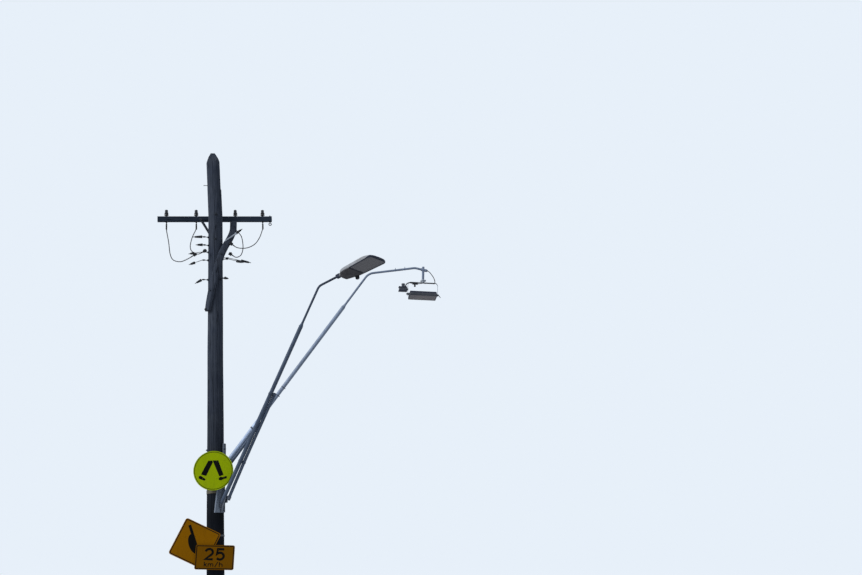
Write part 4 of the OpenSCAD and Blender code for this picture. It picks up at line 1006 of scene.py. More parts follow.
# Lamp modules seen through the dusty cover: faint rows of lens domes pressed in it
dome_parts = []
for i in range(10):
    for j in range(5):
        x, y = 0.500 + 0.046 * i, (j - 2) * 0.074
        if abs(y) > lamp_half_width(x) - 0.035:
            continue
        rings = []
        for r, z in ((0.0165, -0.0708), (0.0160, -0.0716), (0.0125, -0.0722), (0.0065, -0.0726)):
            rings.append([tuple(on_lamp(x + r * cos(2 * pi * k / 16), y + r * sin(2 * pi * k / 16), z))
                          for k in range(16)])
        dome_parts.append(loft(rings))
many("lamp_lens_domes", dome_parts, lamp_cover)

# Screws and latches of the gear door, and the dark seam beside the cover
door_screws, down = [], lamp_axes @ Vector((0, 0, -1))
for x, y in ((0.415, 0.165), (0.415, -0.165), (0.310, -0.170), (0.205, 0.112), (0.205, -0.112)):
    door_screws.append((on_lamp(x, y, -0.0795 if x > 0.32 else -0.070 + (0.32 - x) * 0.02), down))
bolts("lamp_door_screws", door_screws, mid_zinc, 0.009, 0.003, 0.014, 20, 0.001)
latch_parts = []
for s in (-1, 1):
    line = [on_lamp(0.436 + 0.004 * k, s * (0.100 + 0.001 * k), -0.080 - 0.0012 * sin(pi * k / 6)) for k in range(7)]
    latch_parts.append(loft(tube_faces(line, lambda i: 0.007 - 0.0006 * abs(i - 3), 12)))
seam = [on_lamp(0.4415, y, -0.0745) for y in np.linspace(-0.196, 0.196, 30)]
latch_parts.append(loft(tube_faces(seam, 0.0028, 8)))
many("lamp_door_latches", latch_parts, frame_coat_and_shade)

# Ribs of the heat sink on the back, a strip swept along each line
rib_tree, gin, gout = growing_tree("cooling_ribs", "Lines", "Thickness", "Height")
as_curve = joined(rib_tree, "GeometryNodeMeshToCurve", i0=gin.outputs["Lines"])
profile = joined(rib_tree, "GeometryNodeCurvePrimitiveQuadrilateral", Width=gin.outputs["Height"],
                 Height=gin.outputs["Thickness"])
strip = joined(rib_tree, "GeometryNodeCurveToMesh", Curve=as_curve.outputs[0], Profile_Curve=profile.outputs[0],
               Fill_Caps=True)
coated(rib_tree, strip, gin.outputs["Finish"], gout.inputs[0])


def swept(name, tree, lines, finish, slot, body="pole", **sizes):
    """Runs a tree along open lines and turns the faces outwards."""
    mesh = bpy.data.meshes.new(name)
    verts, edges = [], []
    for line in lines:
        base = len(verts)
        verts += [tuple(p) for p in line]
        edges += [(base + i, base + i + 1) for i in range(len(line) - 1)]
    mesh.from_pydata(verts, edges, [])
    made = grown(name, tree, mesh, finish, **sizes)
    faced_out(made.data)
    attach(made, body)
    return made


rib_lines = [[on_lamp(x, y * (0.7 - 0.05 * abs(y) / 0.12), 0.0145 if 0.40 < x < 0.80 else 0.0135)
              for x in np.linspace(0.36, 0.84, 14)]
             for y in np.linspace(-0.13, 0.13, 11)]
swept("lamp_back_ribs", rib_tree, rib_lines, lamp_coat, "lamp_paint", Thickness=0.0045, Height=0.012)

# Clamp screws under the neck
neck_screws = [(on_lamp(x, 0.0, -0.0325), down) for x in (-0.028, 0.006)]
bolts("spigot_screws", neck_screws, mid_zinc, 0.013, 0.008, 0.020, 20, 0.006)

# Collar and cap rings of the sensor
parts = [closed_ring([on_lamp(0.306 + r * cos(a), 0.158 + r * sin(a), z) for a in around(40)], 0.0026)
         for r, z in ((0.0372, -0.118), (0.0372, -0.098), (0.0305, -0.1395))]
many("sensor_rings", parts, black_nylon)


# Floodlight's hanger
# A drop pipe welded to a tee hangs from the arm's end, with a cast knuckle pinned in it.
# A stirrup of galvanised flat bar is bolted under the knuckle and carries the light's two pivots.
def turned(axes, degrees):
    """Axes turned about their own Y."""
    c, s = cos(radians(degrees)), sin(radians(degrees))
    x, y, z = axes
    return x * c - z * s, y, x * s + z * c


foot, along, across, lift = ARM_B
FLOOD_TIP_L = 0.842
# The arm's two bends and the tee's turn back, in degrees, each with the run that follows it
BENDS = ((48.8, 0.943), (20.8, 0.172), (-15.0, 0.0))
tee_axes, tee_at = (along, across, lift), foot + along * (FLOOD_PIPE_L + FLOOD_TIP_L)
tip_start, tip_axes = tee_at, turned(tee_axes, BENDS[0][0])
for degrees, step in BENDS:
    tee_axes = turned(tee_axes, degrees)
    tee_at = tee_at + tee_axes[0] * step
FLOOD_TURN = radians(15)
tx, ty, tz = tee_axes
c, s = cos(FLOOD_TURN), sin(FLOOD_TURN)
hang_axes = Matrix((tx * c + ty * s, ty * c - tx * s, tz)).transposed()
DROP, PIVOT_DOWN, STIRRUP_HALF = 0.200, 0.305, 0.292
SADDLES_AT = (0.550, 0.740)


def on_hanger(x, y, z):
    """A place in the hanger's frame, from the foot of the drop pipe."""
    return tee_at - tz * DROP + hang_axes @ Vector((x, y, z))


def hanger_way(x, y, z):
    return hang_axes @ Vector((x, y, z))


dressed(bright_zinc, "flood_knuckle")
stirrup_zinc = zinc("stirrup_zinc", (0.36, 0.40, 0.46), (0.25, 0.28, 0.32))
# Painted shade darkens the stirrup's top bar and upper corners, above its bends
bend_at = on_hanger(0, 0, -0.118).z
shaded_above(stirrup_zinc, bend_at, bend_at + 0.035, (0.022, 0.027, 0.040))
dressed(stirrup_zinc, "flood_stirrup")
dressed(dark_zinc, "flood_pivots")
bolts("knuckle_bolts", [(on_hanger(s * 0.034, 0, -0.031), hanger_way(s, 0, 0)) for s in (-1, 1)]
      + [(on_hanger(0, -0.016, -0.031), hanger_way(0, -1, 0))], mid_zinc, 0.017, 0.011, 0.026, 24, 0.010)
bolts("stirrup_top_bolt", [(on_hanger(x, 0, -0.0652), hanger_way(0, 0, -1)) for x in (-0.045, 0.045)],
      mid_zinc, 0.017, 0.010, 0.028, 24, 0.010)
TEE_R = 0.0255
seam = [tee_at + tx * (TEE_R * cos(a)) + ty * (TEE_R * sin(a)) - tz * (0.0265 + 0.004 * cos(2 * a))
        for a in around(50)]
bead("tee_weld", seam, 0.0035, flood_tip, 3)

# Two small cable saddles on top of the arm's level run
saddle_parts = []
for at in SADDLES_AT:
    centre = tip_start + tip_axes[0] * at
    saddle_parts.append(closed_ring(hoop(centre, tip_axes[1], tip_axes[2], TIP_R + 0.0018, 32), 0.0026))
    lug = [centre + tip_axes[2] * (TIP_R + 0.001 + 0.024 * k / 7) for k in range(8)]
    saddle_parts.append(loft(tube_faces(lug, lambda i: 0.0055 + 0.0015 * sin(i), 12)))
many("arm_saddles", saddle_parts, flood_tip)

# Slotted pointer plates beside the pivots, riveted to the stirrup's legs
PLATE_R = 0.026
pointer_parts = []
for s in (-1, 1):
    ring = [(PLATE_R * cos(a) * (1.0 if sin(a) > 0 else 1.3), PLATE_R * sin(a)) for a in around(40)]
    rings = []
    for depth, grow in ((0.0052, 1.0), (0.0075, 1.0), (0.0083, 0.94)):
        x = s * (STIRRUP_HALF + depth)
        rings.append([tuple(on_hanger(x, grow * y, -PIVOT_DOWN + grow * z)) for y, z in ring])
    pointer_parts.append(loft(rings))
many("pivot_pointers", pointer_parts, mid_zinc)


# Floodlight
# A die-cast aluminium body with cooling fins on its back, powder coated black and gone a little chalky.
# A toughened flat glass closes its front inside a screwed frame, over rows of pressed lenses.
TILT = radians(-2.5)
body_axes = hang_axes @ Matrix(((1, 0, 0), (0, cos(TILT), -sin(TILT)), (0, sin(TILT), cos(TILT))))
pivot_at = on_hanger(0, 0, -PIVOT_DOWN)
FLOOD_W, FLOOD_L, BODY_DOWN = 0.544, 0.330, 0.021


def on_flood(x, y, z):
    return pivot_at + body_axes @ Vector((x, y, z - BODY_DOWN))


def flood_way(x, y, z):
    return body_axes @ Vector((x, y, z))


black_coat, tree, shader, place = fresh_material("chalky_black_coat", 0.5)
orange = cloudy(tree, place, 300.0, 2.0)
chalk = cloudy(tree, place, 10.0, 6.0, 0.7)
base = ramp(tree, chalk, (0.35, (0.014, 0.018, 0.034)), (0.7, (0.030, 0.037, 0.062)))
fed(shader, Base_Color=base, Roughness=mapped(tree, chalk, 0.3, 0.7, 0.4, 0.72))
bumped(tree, shader, orange, 0.15, 0.0005)
grey_coat = mottled("driver_grey_coat", 0.55, 30.0, 5.0, (0.35, (0.050, 0.058, 0.074)), (0.7, (0.082, 0.092, 0.110)),
                    0.1)
dressed(grey_coat, "flood_driver_box")

flat_glass, tree, shader, place = fresh_material("dusty_flat_glass", 0.5, specular=0.05)
film = cloudy(tree, place, 8.0, 6.0, 0.7)
speck = joined(tree, "ShaderNodeTexVoronoi", Vector=place, Scale=85.0)
base = ramp(tree, film, (0.34, (0.150, 0.143, 0.150)), (0.68, (0.235, 0.222, 0.220)))
base = blended(tree, "MIX", 0.04, base, speck.outputs["Color"])
base = blended(tree, "MULTIPLY", 1.0, base, (0.92, 0.90, 0.92))
fed(shader, Base_Color=base, Roughness=mapped(tree, film, 0.3, 0.7, 0.4, 0.7))


def rounded(w, h, r, steps=6):
    """Outline of a rectangle with rounded corners."""
    out = []
    x, y = w / 2 - r, h / 2 - r
    for cx, cy, start in ((x, y, 0), (-x, y, 90), (-x, -y, 180), (x, -y, 270)):
        turns = [radians(start + 90 * k / steps) for k in range(steps + 1)]
        out += [(cx + r * cos(a), cy + r * sin(a)) for a in turns]
    return out


# Body: a shallow tray open at its face, drawn in towards its back, with an ear and a trunnion at each end
def tray(levels, corner=0.026):
    rings = []
    for inset, z in levels:
        outline = rounded(FLOOD_W - 2 * inset, FLOOD_L - 2 * inset, corner - min(inset, 0.015))
        rings.append([tuple(on_flood(x, y, z)) for x, y in outline])
    return loft(rings)


EAR_R, EAR_Z, TRUNNION_R = 0.026, 0.012, 0.018
parts = [tray(((0.014, -0.0300), (0.014, -0.0405), (0.003, -0.0420), (0.0, -0.0390), (0.0, 0.0040),
               (0.0025, 0.0085), (0.0110, 0.0340), (0.0145, 0.0400), (0.0200, 0.0420)))]
for s in (-1, 1):
    ear = [(-EAR_R, -0.007), (EAR_R, -0.007)]
    ear += [(EAR_R * cos(a), BODY_DOWN + EAR_R * sin(a)) for a in np.linspace(0, pi, 19)]
    rings = [[tuple(on_flood(s * x, y * k, EAR_Z + (z - EAR_Z) * k)) for y, z in ear]
             for x, k in ((0.250, 1.0), (0.2770, 1.0), (0.2795, 0.93))]
    parts.append(loft(rings))
    rings = [[tuple(on_flood(s * x, r * cos(a), BODY_DOWN + r * sin(a))) for a in around(32)]
             for x, r in ((0.262, TRUNNION_R), (0.2900, TRUNNION_R), (0.2912, 0.0168), (0.2912, 0.0074))]
    parts.append(loft(rings))
flank_coat = mottled("flood_grey_coat", 0.55, 14.0, 6.0, (0.35, (0.040, 0.045, 0.055)), (0.7, (0.068, 0.074, 0.086)),
                     0.1)
up = flood_way(0, 0, 1)
shaded_above(flank_coat, on_flood(0, 0, 0.006).dot(up), on_flood(0, 0, 0.016).dot(up), (0.016, 0.020, 0.036), up)
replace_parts(many("flood_housing", parts, flank_coat, "floodlight"), "flood_body")
pane = tray(((0.0145, -0.0300), (0.0145, -0.0394), (0.0160, -0.0402)), 0.024)
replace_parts(many("flood_pane", [pane], flat_glass, "floodlight"), "flood_glass")
fin_lines = [[on_flood(0.030 * i, y, 0.0510) for y in np.linspace(-0.126, 0.126, 8)] for i in range(-8, 9)]
swept("flood_cooling_fins", rib_tree, fin_lines, black_coat, "flood_black", "floodlight",
      Thickness=0.0048, Height=0.034)

# Frame round the glass, its inner edge rolled, with eight screws
outline = []
for cx, cy, start in ((0.246, 0.139, 0), (-0.246, 0.139, 90), (-0.246, -0.139, 180), (0.246, -0.139, 270)):
    outline += [(cx, cy, radians(start + k * 15)) for k in range(7)]
rings = []
for depth, r in ((-0.0400, 0.0255), (-0.0424, 0.0245), (-0.0432, 0.0215), (-0.0432, 0.0140), (-0.0424, 0.0115),
                 (-0.0398, 0.0110)):
    rings.append([tuple(on_flood(cx + r * cos(a), cy + r * sin(a), depth)) for cx, cy, a in outline])
rings.append(rings[0])
many("flood_glass_frame", [loft(rings, False)], black_coat, "floodlight")
screws = ((-0.261, 0.153), (0, 0.1575), (0.261, 0.153), (-0.261, -0.153), (0, -0.1575), (0.261, -0.153),
          (-0.2645, 0), (0.2645, 0))
bolts("flood_frame_screws", [(on_flood(x, y, -0.0428), flood_way(0, 0, -1)) for x, y in screws],
      mid_zinc, 0.007, 0.0022, 0.010, 18, 0.0006, "floodlight")

# Pressed lenses behind the glass: a grid of low domes on its face
lens_tree, gin, gout = growing_tree("pressed_lenses", "Places", "Lens Radius", "Lens Height")
lens_top = sums(lens_tree, "MULTIPLY", gin.outputs["Lens Radius"], 0.62)
dome = joined(lens_tree, "GeometryNodeMeshCone", Vertices=14, Radius_Top=lens_top,
              Radius_Bottom=gin.outputs["Lens Radius"], Depth=gin.outputs["Lens Height"])
coated(lens_tree, aimed(lens_tree, dome, gin.outputs["Places"]), gin.outputs["Finish"], gout.inputs[0])
spots = [(on_flood(-0.225 + 0.045 * i, -0.108 + 0.054 * j, -0.0400), flood_way(0, 0, -1))
         for i in range(11) for j in range(5)]
lenses = grown("flood_lenses", lens_tree, aimed_places("flood_lenses", spots), flat_glass,
               Lens_Radius=0.0165, Lens_Height=0.0012)
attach(lenses, "floodlight")


# Driver box, cable and joiner
# The driver's box is die-cast with flanged lids and a light sensor on top, bolted to the stirrup's left leg.
# A ribbed black conduit runs from the arm's end round the stirrup to an inline joiner with its gland.
def on_pivot(x, y, z):
    return on_hanger(x, y, z - PIVOT_DOWN)


BOX_X, BOX_UP = -STIRRUP_HALF - 0.005 - 0.096, 0.092


def on_box(x, y, z):
    return on_pivot(BOX_X + x, y, BOX_UP + z)


lid_screws = [(on_box(x, y, z), hanger_way(0, 0, w)) for x in (-0.070, 0, 0.070) for y in (-0.048, 0.048)
              for z, w in ((-0.0422, -1), (0.0422, 1)) if not (x == 0 and w == 1)]
bolts("driver_lid_screws", lid_screws, mid_zinc, 0.008, 0.004, 0.012, 18, 0.001)
leg_bolts = [(on_pivot(-STIRRUP_HALF + 0.0002, 0, BOX_UP + z), hanger_way(1, 0, 0)) for z in (-0.010, 0.010)]
bolts("driver_bracket_bolts", leg_bolts, mid_zinc, 0.010, 0.007, 0.016, 20, 0.003)
RIB_X, RIB_Y = 0.0722, 0.0502
corners = ((RIB_X, -RIB_Y), (RIB_X, RIB_Y), (-RIB_X, RIB_Y), (-RIB_X, -RIB_Y))
parts = [closed_ring([on_box(x, y, z) for x, y in corners], 0.0024) for z in (-0.020, -0.008, 0.004, 0.016)]
parts += [closed_ring([on_box(0.006 + r * cos(a), r * sin(a), z) for a in around(44)], 0.0024)
          for z, r in ((0.086, 0.0330), (0.101, 0.0330), (0.109, 0.0325))]
many("driver_box_ribs", parts, grey_coat)
# Dark lids over the box's two flanged ends
LID_X, LID_Y, LID_EDGE = 0.168, 0.120, 0.0015
parts = []
for low, high in ((-0.0425, -0.0295), (0.0295, 0.0425)):
    levels = ((LID_EDGE, low), (0.0, low + LID_EDGE), (0.0, high - LID_EDGE), (LID_EDGE, high))
    parts.append(loft([[tuple(on_box(x, y, z)) for x, y in rounded(LID_X - 2 * less, LID_Y - 2 * less, 0.012)]
                       for less, z in levels]))
many("driver_box_lids", parts, black_coat)

# Ribbed hose: a plain core with a ring at every step of its route
hose_tree, gin, gout = growing_tree("ribbed_conduit", "Route", "Pitch", "Core Radius", "Rib Radius")
route = joined(hose_tree, "GeometryNodeMeshToCurve", i0=gin.outputs["Route"])
core_ring = joined(hose_tree, "GeometryNodeCurvePrimitiveCircle", Resolution=16, Radius=gin.outputs["Core Radius"])
core = joined(hose_tree, "GeometryNodeCurveToMesh", Curve=route.outputs[0], Profile_Curve=core_ring.outputs[0],
              Fill_Caps=True)
stops = joined(hose_tree, "GeometryNodeResampleCurve", mode="LENGTH", Curve=route.outputs[0],
               Length=gin.outputs["Pitch"])
rib_bar = joined(hose_tree, "GeometryNodeCurvePrimitiveCircle", Resolution=6, Radius=gin.outputs["Rib Radius"])
rib = joined(hose_tree, "GeometryNodeCurveToMesh", Curve=core_ring.outputs[0], Profile_Curve=rib_bar.outputs[0])
tangent = hose_tree.nodes.new("GeometryNodeInputTangent")
turn = joined(hose_tree, "FunctionNodeAlignRotationToVector", axis="Z", Vector=tangent.outputs[0])
rib_rings = joined(hose_tree, "GeometryNodeInstanceOnPoints", Points=stops.outputs[0], Instance=rib.outputs[0],
                   Rotation=turn.outputs[0])
both = hose_tree.nodes.new("GeometryNodeJoinGeometry")
for part in (rib_rings, core):
    hose_tree.links.new(part.outputs[0], both.inputs[0])
coated(hose_tree, both, gin.outputs["Finish"], gout.inputs[0])

bar_under = -0.065 - DROP
JOINER_DOWN, RIB_PITCH, JOINER_R = 0.025, 0.0052, 0.0208
joiner_z = bar_under - JOINER_DOWN
way_x, way_z = cos(radians(15)), -sin(radians(15))
tee_out = (way_x * cos(FLOOD_TURN), -way_x * sin(FLOOD_TURN), way_z)
cable_route = [tuple(0.076 * c for c in tee_out), tuple(0.102 * c for c in tee_out), (0.143, -0.032, -0.071),
               (0.201, -0.036, -0.151), (0.230, -0.038, -0.217), (0.232, -0.038, bar_under + 0.004),
               (0.222, -0.032, bar_under - 0.018), (0.184, -0.014, bar_under - 0.011),
               (0.090, -0.008, bar_under - 0.010), (0, -0.008, bar_under - 0.010),
               (-0.067, -0.008, bar_under - 0.021), (-0.107, -0.008, joiner_z)]
line = [on_hanger(x, y, z + DROP) for x, y, z in through(cable_route, 8)]
conduit = swept("flood_conduit", hose_tree, [line], black_cable, "black_cable",
                Pitch=RIB_PITCH, Core_Radius=0.0069, Rib_Radius=0.0012)
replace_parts(conduit, "flood_cable")
# Lead from the joiner over the stirrup's corner into the driver box
lid_top = BOX_UP + 0.042 - PIVOT_DOWN
lead = [(-0.184, -0.008, joiner_z + DROP), (-0.215, -0.016, joiner_z + DROP + 0.004), (-0.262, -0.038, -0.086),
        (-0.300, -0.044, -0.096), (-0.330, -0.042, -0.124), (-0.342, -0.038, -0.150),
        (-0.344, -0.036, lid_top + 0.004)]
line = [on_hanger(*p) for p in through(lead, 8)]
swept("driver_lead", hose_tree, [line], black_cable, "black_cable",
      Pitch=RIB_PITCH, Core_Radius=0.0098, Rib_Radius=0.0013)
# Gland nuts on the arm's end, at both ends of the joiner and on the driver box
parts = []
for start, way, radius in ((cable_route[0], tee_out, 0.0165), (cable_route[-1], (1, 0, 0), 0.014),
                           ((-0.184, -0.008, joiner_z), (-1, 0, 0), 0.014),
                           ((-0.344, -0.036, lid_top - DROP), (0, 0, 1), 0.014)):
    axis = hang_axes @ Vector(way)
    side = axis.cross(hang_axes @ Vector((0, 1, 0))).normalized()
    up = axis.cross(side)
    base = on_hanger(start[0], start[1], start[2] + DROP)
    turns = [2 * pi * k / 24 for k in range(24)]
    rings = []
    for t, r in ((-0.002, 1.0), (0.010, 1.0), (0.0105, 0.86), (0.017, 0.78), (0.018, 0.66)):
        rings.append([tuple(base + axis * t + (side * cos(a) + up * sin(a)) * (radius * r)) for a in turns])
    parts.append(loft(rings))
many("conduit_glands", parts, black_nylon)
parts = []
for x in (-0.123, -0.137, -0.151, -0.165, -0.179):
    line = [on_hanger(x, -0.008 + JOINER_R * cos(a), joiner_z + DROP + JOINER_R * sin(a)) for a in around(36)]
    parts.append(closed_ring(line, 0.0016))
many("joiner_rings", parts, black_nylon)


# Signs
# Three aluminium sheets faced with retroreflective film, its symbols screened in black.
# The round one marks a crossing; the diamond has slipped round on its rails behind the speed plate.
film_wear, gin, gout = vector_group("film_wear", ("Cell", "Fade", "Grime"))
number_in(film_wear, "Grime Size", 3.0)
honeycomb = joined(film_wear, "ShaderNodeTexVoronoi", feature="DISTANCE_TO_EDGE", Vector=gin.outputs["Coordinate"],
                   Scale=230.0)
cell = mapped(film_wear, honeycomb.outputs["Distance"], 0.0, 0.08)
film_wear.links.new(cell, gout.inputs["Cell"])
fade = cloudy(film_wear, gin.outputs["Coordinate"], 2.2, 4.0, 0.55)
film_wear.links.new(fade, gout.inputs["Fade"])
drip = joined(film_wear, "ShaderNodeVectorMath", operation="MULTIPLY", i0=gin.outputs["Coordinate"],
              i1=(1.0, 1.0, 0.18))
grime = cloudy(film_wear, drip.outputs[0], gin.outputs["Grime Size"], 8.0, 0.68)
film_wear.links.new(grime, gout.inputs["Grime"])


def sheeting(name, colour, soiled, back_y):
    """Reflective film on the road side, bare aluminium behind back_y."""
    made, tree, shader, place = fresh_material(name, 0.42, specular=0.03)
    wear = grouped(tree, film_wear, place, Grime_Size=3.4)
    base = blended(tree, "MIX", ramp(tree, wear.outputs["Fade"], (0.38, 0.0), (0.66, 0.55)), colour,
                   tuple(1.2 * c for c in colour))
    base = blended(tree, "MULTIPLY", 0.22, base, wear.outputs["Cell"])
    base = blended(tree, "MIX", ramp(tree, wear.outputs["Grime"], (0.5, 0.0), (0.72, 0.6)), base, soiled)
    split = joined(tree, "ShaderNodeSeparateXYZ", Vector=place)
    back = sums(tree, "GREATER_THAN", split.outputs["Y"], back_y)
    base = blended(tree, "MIX", back, base, (0.30, 0.31, 0.32))
    fed(shader, Base_Color=base, Roughness=mapped(tree, wear.outputs["Grime"], 0.4, 0.75, 0.32, 0.75))
    bumped(tree, shader, wear.outputs["Cell"], 0.08, 0.0002)
    return made


dressed(sheeting("yellow_green_film", (0.285, 0.380, 0.002), (0.170, 0.228, 0.004), -0.2955), "round_sign")
dressed(sheeting("amber_film", (0.214, 0.087, 0.0004), (0.125, 0.052, 0.001), -0.2275), "diamond_sign")
dressed(sheeting("amber_plate_film", (0.140, 0.057, 0.0004), (0.088, 0.037, 0.001), -0.2635), "speed_plate")

screened_black, tree, shader, place = fresh_material("screened_black", 0.5, specular=0.03)
wear = grouped(tree, film_wear, place, Grime_Size=6.0)
fed(shader, Base_Color=ramp(tree, wear.outputs["Grime"], (0.4, (0.003, 0.003, 0.003)), (0.7, (0.008, 0.008, 0.007))))
bumped(tree, shader, wear.outputs["Cell"], 0.05, 0.0002)

SHEET, INK, UNDER_INK = 0.003, 0.0004, -0.0002


def sign_frame(centre, degrees):
    """Maps (right, up, proud) on a sign to a place, proud of its face."""
    c, s = cos(radians(degrees)), sin(radians(degrees))
    middle = Vector(centre)
    return lambda x, y, proud: middle + Vector((x * c + y * s, -SHEET - proud, y * c - x * s))


def two_levels(place, *lines):
    """The lines' points on the print's face, and again just under the sheet's."""
    return [tuple(place(x, y, proud)) for proud in (INK, UNDER_INK) for line in lines for x, y in line]


def inked(place, outline):
    """A flat shape printed on a sign, with a thin edge so that it is closed."""
    n = len(outline)
    verts = two_levels(place, outline)
    faces = [tuple(range(n)), tuple(range(2 * n - 1, n - 1, -1))]
    faces += [(i, i + n, (i + 1) % n + n, (i + 1) % n) for i in range(n)]
    return verts, faces


def stroke(place, line, width):
    """A printed line of one width, mitred at its corners."""
    left, right = [], []
    n = len(line)
    for i in range(n):
        p = np.array(line[i], float)
        before = unit(p - np.array(line[i - 1])) if i else unit(np.array(line[1]) - p)
        after = unit(np.array(line[i + 1]) - p) if i < n - 1 else before
        way = unit(before + after)
        cut = width / 2 / max(0.5, float(np.dot(way, before)))
        side = np.array((-way[1], way[0])) * cut
        left.append(tuple(p + side))
        right.append(tuple(p - side))
    verts, faces = two_levels(place, left, right), []
    for i in range(n - 1):
        faces.append((i, i + 1, n + i + 1, n + i))
        faces.append((2 * n + i + 1, 2 * n + i, 3 * n + i, 3 * n + i + 1))
        faces.append((i + 1, i, 2 * n + i, 2 * n + i + 1))
        faces.append((n + i, n + i + 1, 3 * n + i + 1, 3 * n + i))
    for i in (0, n - 1):
        faces.append((i, n + i, 3 * n + i, 2 * n + i))
    return verts, faces


def ring_print(place, outline, inner):
    """A printed border between two equal outlines."""
    n = len(outline)
    verts, faces = two_levels(place, outline, inner), []
    for i in range(n):
        j = (i + 1) % n
        faces += [(i, j, n + j, n + i), (2 * n + j, 2 * n + i, 3 * n + i, 3 * n + j), (j, i, 2 * n + i, 2 * n + j),
                  (n + i, n + j, 3 * n + j, 3 * n + i)]
    return verts, faces


# Round sign: a thin ring, and a pair of walking legs
disc = sign_frame((-0.039, -0.294, 3.888), 0)


def circle(r):
    return [(r * cos(a), r * sin(a)) for a in around(96)]


prints = [ring_print(disc, circle(0.357), circle(0.347))]
prints.append(inked(disc, [(-0.096, 0.192), (-0.022, 0.192), (-0.010, 0.155), (-0.136, -0.097), (-0.233, -0.065)]))
prints.append(inked(disc, [(-0.014, 0.192), (0.092, 0.192), (0.192, -0.090), (0.110, -0.112)]))
prints.append(inked(disc, [(-0.274, -0.099), (-0.233, -0.090), (-0.142, -0.159), (-0.164, -0.186), (-0.219, -0.167),
                           (-0.274, -0.140)]))
prints.append(inked(disc, [(0.100, -0.143), (0.137, -0.120), (0.178, -0.132), (0.226, -0.112), (0.258, -0.118),
                           (0.246, -0.156), (0.188, -0.170), (0.145, -0.192), (0.102, -0.180)]))
many("round_sign_print", prints, screened_black, smooth=False)

# Diamond: a border, and a hump whose base lies along the sheet's diagonal
diamond = sign_frame((-0.380, -0.226, 2.548), 27.5)
prints = [ring_print(diamond, rounded(0.692, 0.692, 0.036), rounded(0.660, 0.660, 0.022))]
DIAGONAL = sqrt(0.5)
hump = [(-0.358, -0.038), (0.358, -0.038), (0.358, 0.014), (0.190, 0.014)]
hump += [(0.190 * cos(a), 0.014 + 0.100 * sin(a)) for a in np.linspace(0.06, pi - 0.06, 28)]
hump += [(-0.190, 0.014), (-0.358, 0.014)]
prints.append(inked(diamond, [((e - n) * DIAGONAL, (-e - n) * DIAGONAL) for e, n in hump]))
many("diamond_sign_print", prints, screened_black, smooth=False)

# Speed plate: a border, the number 25 and its unit
plate = sign_frame((-0.014, -0.262, 2.276), 4)
prints = [ring_print(plate, rounded(0.696, 0.426, 0.024), rounded(0.664, 0.394, 0.012))]


def arc(cx, cy, rx, ry, start, end, n=14):
    return [(cx + rx * cos(radians(a)), cy + ry * sin(radians(a))) for a in np.linspace(start, end, n)]


THICK, THIN, UNIT_LEFT, UNIT_STRETCH = 0.043, 0.016, -0.184, 1.13
two = arc(-0.107, 0.092, 0.066, 0.058, 168, -28) + [(-0.074, 0.040), (-0.172, -0.036), (-0.034, -0.036)]
five = [(0.166, 0.150), (0.052, 0.150), (0.036, 0.060)] + arc(0.095, 0.024, 0.069, 0.062, 128, -142)
prints += [stroke(plate, two, THICK), stroke(plate, five, THICK)]
for line in (
        [(-0.184, -0.084), (-0.184, -0.170)], [(-0.146, -0.112), (-0.178, -0.143)],
        [(-0.170, -0.136), (-0.142, -0.170)], [(-0.120, -0.112), (-0.120, -0.170)],
        [(-0.120, -0.124)] + arc(-0.099, -0.132, 0.018, 0.016, 150, 0, 8) + [(-0.081, -0.170)],
        [(-0.081, -0.124)] + arc(-0.060, -0.132, 0.018, 0.016, 150, 0, 8) + [(-0.042, -0.170)],
        [(0.034, -0.082), (-0.012, -0.178)], [(0.062, -0.084), (0.062, -0.170)],
        [(0.062, -0.126)] + arc(0.086, -0.134, 0.022, 0.018, 150, 0, 8) + [(0.108, -0.170)]):
    wider = [(UNIT_LEFT + (x - UNIT_LEFT) * UNIT_STRETCH, y) for x, y in line]
    prints.append(stroke(plate, wider, THIN))
many("speed_plate_print", prints, screened_black, smooth=False)


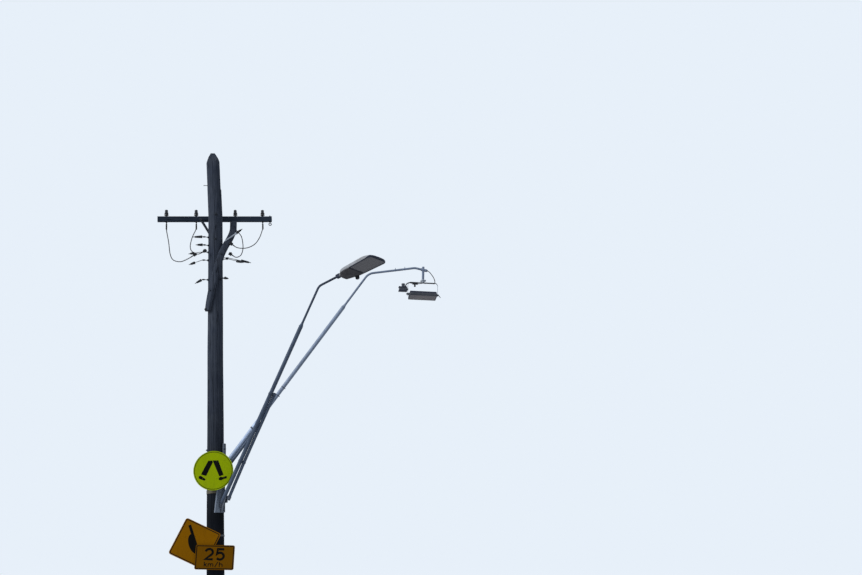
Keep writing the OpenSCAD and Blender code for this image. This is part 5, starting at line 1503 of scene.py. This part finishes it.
# Rails and bands
# Extruded aluminium rails are riveted across the sheets' backs and clipped to stainless bands round the pole.
# The bands close in worm buckles on the far side; a wide one under the round sign is painted cream.
rail_metal = zinc("rail_aluminium", (0.36, 0.37, 0.39), (0.22, 0.225, 0.23), 0.4, 0.7, 90.0)
dressed(rail_metal, "sign_rails")
PAINTED_Z = 3.506
band_steel, tree, shader, place = fresh_material("band_steel", 0.45, 0.4)
split = joined(tree, "ShaderNodeSeparateXYZ", Vector=place)
off = sums(tree, "SUBTRACT", split.outputs["Z"], PAINTED_Z)
painted = sums(tree, "LESS_THAN", sums(tree, "ABSOLUTE", off, 0.0), 0.05)
skin = grouped(tree, zinc_skin, place, Spangle_Size=120.0)
plain_band = ramp(tree, skin.outputs["Soil"], (0.4, (0.075, 0.080, 0.088)), (0.7, (0.045, 0.048, 0.052)))
old_paint = ramp(tree, skin.outputs["Soil"], (0.38, (0.125, 0.112, 0.080)), (0.6, (0.085, 0.078, 0.058)),
                 (0.75, (0.045, 0.044, 0.040)))
fed(shader, Base_Color=blended(tree, "MIX", painted, plain_band, old_paint))
bumped(tree, shader, skin.outputs["Soil"], 0.2, 0.001)
dressed(band_steel, "sign_bands")

# Each rail's level, its sheet's plane, its two ends and the place of its clip
RAILS = ((3.738, -0.294, -0.300, 0.222, -0.086), (4.073, -0.294, -0.300, 0.222, -0.086),
         (2.348, -0.226, -0.690, 0.052, 0.0), (2.678, -0.226, -0.640, 0.062, 0.0),
         (2.136, -0.262, -0.314, 0.286, 0.0), (2.416, -0.262, -0.314, 0.286, 0.0))
rivets, clips, buckles = [], [], []
for z, y, x0, x1, saddle in RAILS:
    for t in (0.12, 0.38, 0.62, 0.88):
        x = x0 + (x1 - x0) * t
        # None where the speed plate lies over the diamond
        if not (z < 2.52 and y > -0.24 and x > -0.28):
            rivets.append(((x, y - SHEET, z), (0, -1, 0)))
    for s in (-1, 1):
        clips.append(((saddle + s * 0.042, y + 0.0222, z), (0, 1, 0)))
    buckles.append(on_pole(z, 90, 0.005))
# Film laid over the rivets' heads takes each sign's colour
rivet_film, tree, shader, place = fresh_material("rivet_film", 0.5, specular=0.03)
split = joined(tree, "ShaderNodeSeparateXYZ", Vector=place)
height = mapped(tree, split.outputs["Z"], 3.0, 3.4)
wear = grouped(tree, film_wear, place, Grime_Size=9.0)
base = ramp(tree, height, (0.45, (0.135, 0.055, 0.0004)), (0.55, (0.235, 0.313, 0.002)))
base = blended(tree, "MIX", ramp(tree, wear.outputs["Grime"], (0.42, 0.0), (0.7, 0.6)), base, (0.030, 0.028, 0.020))
fed(shader, Base_Color=base)
bumped(tree, shader, wear.outputs["Grime"], 0.1, 0.0003)
bolts("sign_rivets", rivets, rivet_film, 0.0075, 0.0016, 0.0095, 20, 0.0004)
bolts("rail_clip_bolts", clips, mid_zinc, 0.011, 0.007, 0.015, 20, 0.003)
bolts("band_buckles", buckles, band_steel, 0.020, 0.012, 0.034, 4, 0.004)
